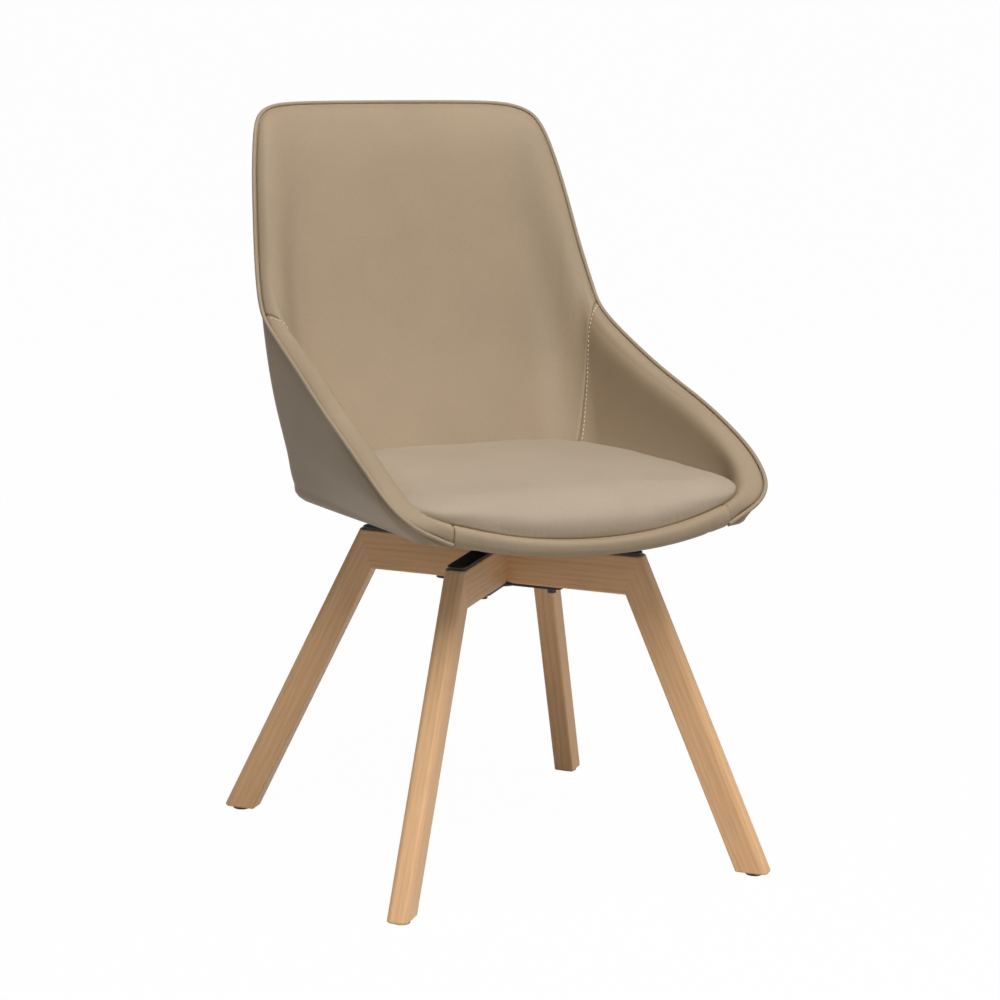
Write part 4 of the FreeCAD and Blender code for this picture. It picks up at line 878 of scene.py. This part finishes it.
def live_copy(piece, name):
    """A mesh object made from what a piece's modifiers give."""
    bpy.context.view_layer.update()
    shown = piece.evaluated_get(bpy.context.evaluated_depsgraph_get())
    copied = bpy.data.objects.new(name, bpy.data.meshes.new_from_object(shown))
    scene.collection.objects.link(copied)
    return copied


stitches = live_copy(stitch_lines, "seam_stitches")
bpy.data.objects.remove(stitch_lines)
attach(stitches, "seat")

# Piping
# A leather covered cord 4.8 mm thick, sewn into the seam between the inside and the outside. It runs along
# the rim from one end of the front band to the other.
PIPING_RADIUS = 0.0024
PIPING_SIDES = 14
# A direction that the piping never takes, to square its sections by
ASIDE = np.array([0.3, 0.1, 1.0])


def tube(name, line, radius, sides, material):
    """A closed round tube along a line, its sections square to it."""
    way = np.gradient(line, axis=0)
    way /= np.linalg.norm(way, axis=1)[:, None]
    side = np.cross(way, ASIDE)
    side /= np.linalg.norm(side, axis=1)[:, None]
    over = np.cross(side, way)
    angles = np.linspace(0, 2 * math.pi, sides, endpoint=False)
    rings = [line + radius * (math.cos(a) * side + math.sin(a) * over) for a in angles]
    points = np.array(rings).transpose(1, 0, 2)
    count = len(line)
    index = np.arange(count * sides).reshape(count, sides)
    after = np.roll(index, -1, axis=1)
    faces = np.stack([index[:-1], after[:-1], after[1:], index[1:]], -1).reshape(-1, 4)
    vertices = np.concatenate([points.reshape(-1, 3), line[:1], line[-1:]])
    caps = [(after[0, k], index[0, k], count * sides) for k in range(sides)]
    caps += [(index[-1, k], after[-1, k], count * sides + 1) for k in range(sides)]
    piece = mesh_piece(name, vertices, list(faces) + caps, material)
    outward(piece)
    return piece


piping = tube("rim_piping_cord", whole(piping_middle), PIPING_RADIUS, PIPING_SIDES, piping_hide)
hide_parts("rim_piping")
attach(piping, "seat")

# Underside and deck
# The underside is a black dust cloth pulled flat over the shell, the deck under the cushion a plain flat
# piece of the leather.
FLOOR_SHARES = (0.25, 0.6, 0.8, 0.87, 0.94)
UNDERSIDE_HEIGHT = 0.4003
SEAT_CENTRE = np.array([0, -0.05, 0])
LINING_INSET = 0.0024
LINING_FRONT_INSET = 0.0060
LINING_BLACK = (0.03, 0.03, 0.03, 1)
FRONT_COLUMNS = 16
LEVEL_SHARE = 0.45
DECK_SHARES = (0.3, 0.7, 1.0)
half_edge = np.concatenate([outer_net[:, -1], rim[BAND_COLUMN + 1:]])
front_share = eased(np.arange(len(half_edge)), BAND_COLUMN - FRONT_COLUMNS, BAND_COLUMN)


def ring(half):
    """A closed ring made of its right half and that half's mirror image."""
    return np.concatenate([half, half[-2:0:-1] * MIRROR])


def inset(loop, distance):
    """A ring drawn in towards the seat's middle."""
    way = (SEAT_CENTRE - loop) * np.array([1, 1, 0])
    way /= np.linalg.norm(way, axis=1)[:, None]
    return loop + way * np.asarray(distance)[..., None]


def closed_form(name, rings, material):
    """A closed form: rings of points from the middle of its underside to the middle of its top."""
    points = np.array(rings)
    count = points.shape[1]
    index = np.arange(points.shape[0] * count).reshape(points.shape[0], count)
    after = np.roll(index, -1, axis=1)
    faces = [tuple(f) for f in np.stack([index[:-1], after[:-1], after[1:], index[1:]], -1).reshape(-1, 4)]
    below, above = points.shape[0] * count, points.shape[0] * count + 1
    faces += [(after[0, k], index[0, k], below) for k in range(count)]
    faces += [(index[-1, k], after[-1, k], above) for k in range(count)]
    poles = [points[0].mean(axis=0), points[-1].mean(axis=0)]
    piece = mesh_piece(name, np.concatenate([points.reshape(-1, 3), poles]), faces, material)
    outward(piece)
    return piece


def floor_rings(loop, lift):
    """Rings that close in on the middle of the underside, level but for their outer part."""
    closing = []
    for share in FLOOR_SHARES:
        level = UNDERSIDE_HEIGHT + (loop[:, 2] - UNDERSIDE_HEIGHT) * eased(share, LEVEL_SHARE, 1.0)
        closing.append(np.column_stack([loop[:, :2] * share, level + lift]))
    return closing


lining_cloth = rough_coat("dust_cloth", LINING_BLACK, 0.85, 2400, 0.0002)
edge_loop = ring(half_edge)
front_parts = np.concatenate([front_share, front_share[-2:0:-1]])
lining_loop = inset(edge_loop, LINING_INSET + (LINING_FRONT_INSET - LINING_INSET) * front_parts)
lining_rings = floor_rings(lining_loop, 0.0) + [lining_loop] + [lining_loop + np.array([0, 0, SKIN])]
lining_rings += floor_rings(lining_loop, SKIN)[::-1]
lining = closed_form("underside_lining", lining_rings, lining_cloth)
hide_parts("underside_cover")
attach(lining, "seat")
deck_loop = ring(inner_net[:, -1])
deck_top = [deck_loop * np.array([share, share, 1]) for share in DECK_SHARES]
deck_rings = [level - np.array([0, 0, SKIN]) for level in deck_top] + deck_top[::-1]
deck = closed_form("deck_panel", deck_rings, hide)
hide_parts("deck_cover", "pan_foam")
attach(deck, "seat")

# Moulded shell
# The hidden core of the seat: beech plywood 7 mm thick, pressed to the bucket's form, that ends under the
# roll of the rim and behind the front band.
PLY_THICKNESS = 0.007
PLY_INSET = 0.0032
PLY_FRONT_INSET = 0.0105
PLY_DROP = 0.009
PLY_ROWS = 26
PLY_LIP = 0.0035
PLY_LIFT = 0.0022
PLY_FLOOR_LIFT = PLY_LIFT * 0.6
ply = oak("beech_ply", (1, 0.1, 0.3), 11, 0.1)
ply_columns = []
for column in range(len(rim)):
    foot = half_edge[column] + np.array([0, 0, PLY_LIFT])
    if column < BAND_COLUMN:
        length = np.linalg.norm(np.diff(outer_net[column], axis=0), axis=1).sum()
        drop = min(PLY_DROP / length, 0.5)
        side_wall = along(outer_net[column], np.linspace(drop, 1, PLY_ROWS))
        side_wall[-1] = foot
    else:
        side_wall = np.linspace(foot + np.array([0, 0, PLY_LIP]), foot, PLY_ROWS)
    ply_columns.append(side_wall)
ply_rows = np.array(ply_columns).transpose(1, 0, 2)
ply_insets = PLY_INSET + (PLY_FRONT_INSET - PLY_INSET) * front_parts
ply_outside = [inset(ring(row), ply_insets) for row in ply_rows]
ply_inside = [inset(ring(row), ply_insets + PLY_THICKNESS) for row in ply_rows]
ply_rings = floor_rings(ply_outside[-1], PLY_FLOOR_LIFT) + ply_outside[::-1] + ply_inside[:-1]
ply_rings += floor_rings(ply_outside[-1], PLY_FLOOR_LIFT + PLY_THICKNESS)[::-1]
ply_shell = closed_form("seat_shell_core", ply_rings, ply)
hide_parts("seat_shell")
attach(ply_shell, "seat")

# Seat cushion
# A thick cushion set into the bucket: foam in a leather cover, domed on top and rolled over at the front,
# where it meets the band in a tight crease with small puckers. Its front corners reach into the arms.
CREASE = [
    (0, 134, 455), (60, 134, 455), (105, 133.5, 455), (140, 124, 455), (162, 104, 455), (173, 78, 455),
    (179, 45, 455), (187, 0, 455), (195, -50, 455), (203, -95, 455.5), (208.5, -135, 457),
    (210.5, -158, 459.5), (211.5, -174, 456), (208, -189, 452.5), (199.5, -200, 449.5),
    (188, -208.5, 446.5), (174, -214, 443.3), (160, -217.5, 440), (148, -220.5, 436.5),
    (100, -225, 425), (50, -230.5, 420), (0, -233, 418.6),
]
CUSHION_MIDDLE = np.array([0, -0.052])
CROWN_HEIGHT = 0.4695
FRONT_SHOULDER_HEIGHT = 0.466
REAR_SHOULDER_HEIGHT = 0.4625
CUSHION_FOOT_HEIGHT = 0.4258
SIDE_FULLNESS = 0.004
SIDE_MIDDLE = -0.03
SIDE_REACH = 0.09
SIDE_LIMIT = 0.12
FRONT_RISE = (-0.11, 0.06)
CROWN_POWER = 2.2
CUSHION_COLUMNS = 250
TOP_RINGS = 64
FOOT_RINGS = 14
TOP_SPACING = 2
FOOT_SPACING = 1.3
ROLL_OVER = 0.034
ROLL_OVER_RISE = 0.78
ROLL_POWER = 2.4
TUCK = 0.05
TUCK_POWER = 1.5
OVERHANG = 0.0066
OVERHANG_POWER = 1.5
CLOTH_GRID = 0.006
CLOTH_FRAMES = 20
CUSHION_PRESSURE = 4
HIDE_MASS = 0.4
CLOTH_QUALITY = 3
SWELL_CAP = 0.0022
SWELL_FADE = 0.02
SWELL_NEIGHBOURS = 6
GATHER_WIDTH = 0.0022
GATHER_REACH = 0.009
GATHER_LIMIT = -0.15
GATHER_RISE = (0.0005, 0.004)
# Each gather's place across the front and its depth
GATHERS = [
    (-0.117, 0.0008), (-0.109, 0.0012), (-0.101, 0.0009), (-0.094, 0.0014), (-0.087, 0.0010),
    (-0.079, 0.0013), (-0.071, 0.0008), (-0.063, 0.0009), (-0.02, 0.0004), (0.031, 0.0005),
    (0.083, 0.0008), (0.092, 0.0007), (0.104, 0.0009), (0.113, 0.0006),
]


def rounding(distance, reach, power):
    """A rounded step: 0 at the edge, 1 from the reach inwards."""
    part = np.clip(distance / reach, 0, 1)
    return (1 - (1 - part) ** power) ** (1 / power)


crease = ring(along(smooth_line(CREASE), np.linspace(0, 1, CUSHION_COLUMNS + 1)))
spokes = crease[:, :2] - CUSHION_MIDDLE
spoke_lengths = np.linalg.norm(spokes, axis=1)
crease_height = crease[:, 2]
forward = eased(-crease[:, 1], *FRONT_RISE)
edge_height = REAR_SHOULDER_HEIGHT + (FRONT_SHOULDER_HEIGHT - REAR_SHOULDER_HEIGHT) * forward
fuller = np.exp(-((crease[:, 1] - SIDE_MIDDLE) / SIDE_REACH) ** 2) * (np.abs(crease[:, 0]) > SIDE_LIMIT)
edge_height = edge_height + SIDE_FULLNESS * fuller
roll_reach = ROLL_OVER + ROLL_OVER_RISE * (edge_height - crease_height)
rings = []
for step in range(FOOT_RINGS, 0, -1):
    share = 1 - (step / (FOOT_RINGS + 1)) ** FOOT_SPACING
    tuck = rounding((1 - share) * spoke_lengths, TUCK, TUCK_POWER)
    height = crease_height + (CUSHION_FOOT_HEIGHT - crease_height) * tuck
    rings.append(np.column_stack([CUSHION_MIDDLE + spokes * share, height]))
for step in range(TOP_RINGS + 1):
    share = 1 - (step / (TOP_RINGS + 1)) ** TOP_SPACING
    roll = rounding((1 - share) * spoke_lengths, roll_reach, ROLL_POWER)
    top = CROWN_HEIGHT - (CROWN_HEIGHT - edge_height) * share ** CROWN_POWER
    height = crease_height + (top - crease_height) * roll
    bulge = OVERHANG * np.sin(math.pi * roll ** OVERHANG_POWER)
    bulge = bulge * (top - crease_height) / (CROWN_HEIGHT - crease_height.min())
    flat = CUSHION_MIDDLE + spokes * (share + bulge / spoke_lengths)[:, None]
    rings.append(np.column_stack([flat, height]))
cushion = closed_form("seat_cushion", rings, cushion_hide)


def coordinates(mesh):
    """A mesh's points as rows of numbers."""
    flat = np.empty(len(mesh.vertices) * 3)
    mesh.vertices.foreach_get("co", flat)
    return flat.reshape(-1, 3)


def place_points(mesh, points):
    """Moves a mesh's points."""
    mesh.vertices.foreach_set("co", points.ravel())
    mesh.update()


# The hide swells over its foam: an even net of it is blown up as cloth, and its moves are capped and
# passed on to the cushion
even = cushion.modifiers.new("even", "REMESH")
even.mode = "VOXEL"
even.voxel_size = CLOTH_GRID
hide_net = live_copy(cushion, "cushion_hide_net")
cushion.modifiers.remove(even)
net_points = coordinates(hide_net.data)
cloth = hide_net.modifiers.new("cloth", "CLOTH")
cloth.settings.quality = CLOTH_QUALITY
cloth.settings.mass = HIDE_MASS
cloth.settings.use_pressure = True
cloth.settings.uniform_pressure_force = CUSHION_PRESSURE
cloth.settings.effector_weights.gravity = 0
cloth.point_cache.frame_start = 1
cloth.point_cache.frame_end = CLOTH_FRAMES
for step in range(1, CLOTH_FRAMES + 1):
    scene.frame_set(step)
swollen_net = live_copy(hide_net, "cushion_swollen_net")
moves = coordinates(swollen_net.data) - net_points
bpy.data.objects.remove(swollen_net)
bpy.data.objects.remove(hide_net)
scene.frame_set(1)
sizes = np.linalg.norm(moves, axis=1)[:, None]
moves = moves * np.minimum(1, SWELL_CAP / np.maximum(sizes, 1e-9))
finder = KDTree(len(net_points))
for number, point in enumerate(net_points):
    finder.insert(point, number)
finder.balance()
form_points = coordinates(cushion.data)
for number, point in enumerate(form_points.copy()):
    near = finder.find_n(point, SWELL_NEIGHBOURS)
    weights = np.array([1 / (found[2] + CLOTH_GRID / 2) for found in near])
    move = weights @ moves[[found[1] for found in near]] / weights.sum()
    form_points[number] += move * min(1, max(0, (point[2] - CUSHION_FOOT_HEIGHT) / SWELL_FADE))
place_points(cushion.data, form_points)

# Gathers: the thread draws the hide in just over the crease at the front
points = coordinates(cushion.data)
front_line = crease[crease[:, 1] < GATHER_LIMIT]
front_line = front_line[np.argsort(front_line[:, 0])]
line_height = np.interp(points[:, 0], front_line[:, 0], front_line[:, 2])
line_reach = np.interp(points[:, 0], front_line[:, 0], front_line[:, 1])
over = np.hypot(points[:, 2] - line_height, points[:, 1] - line_reach)
drawn = sum(depth * np.exp(-((points[:, 0] - place) / GATHER_WIDTH) ** 2) for place, depth in GATHERS)
drawn = drawn * np.exp(-(over / GATHER_REACH) ** 2) * (points[:, 1] < GATHER_LIMIT)
drawn = drawn * eased(points[:, 2] - line_height, *GATHER_RISE)
points[:, 1] += drawn
place_points(cushion.data, points)
outward(cushion)
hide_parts("seat_cushion_cover", "seat_cushion_foam")
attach(cushion, "seat")
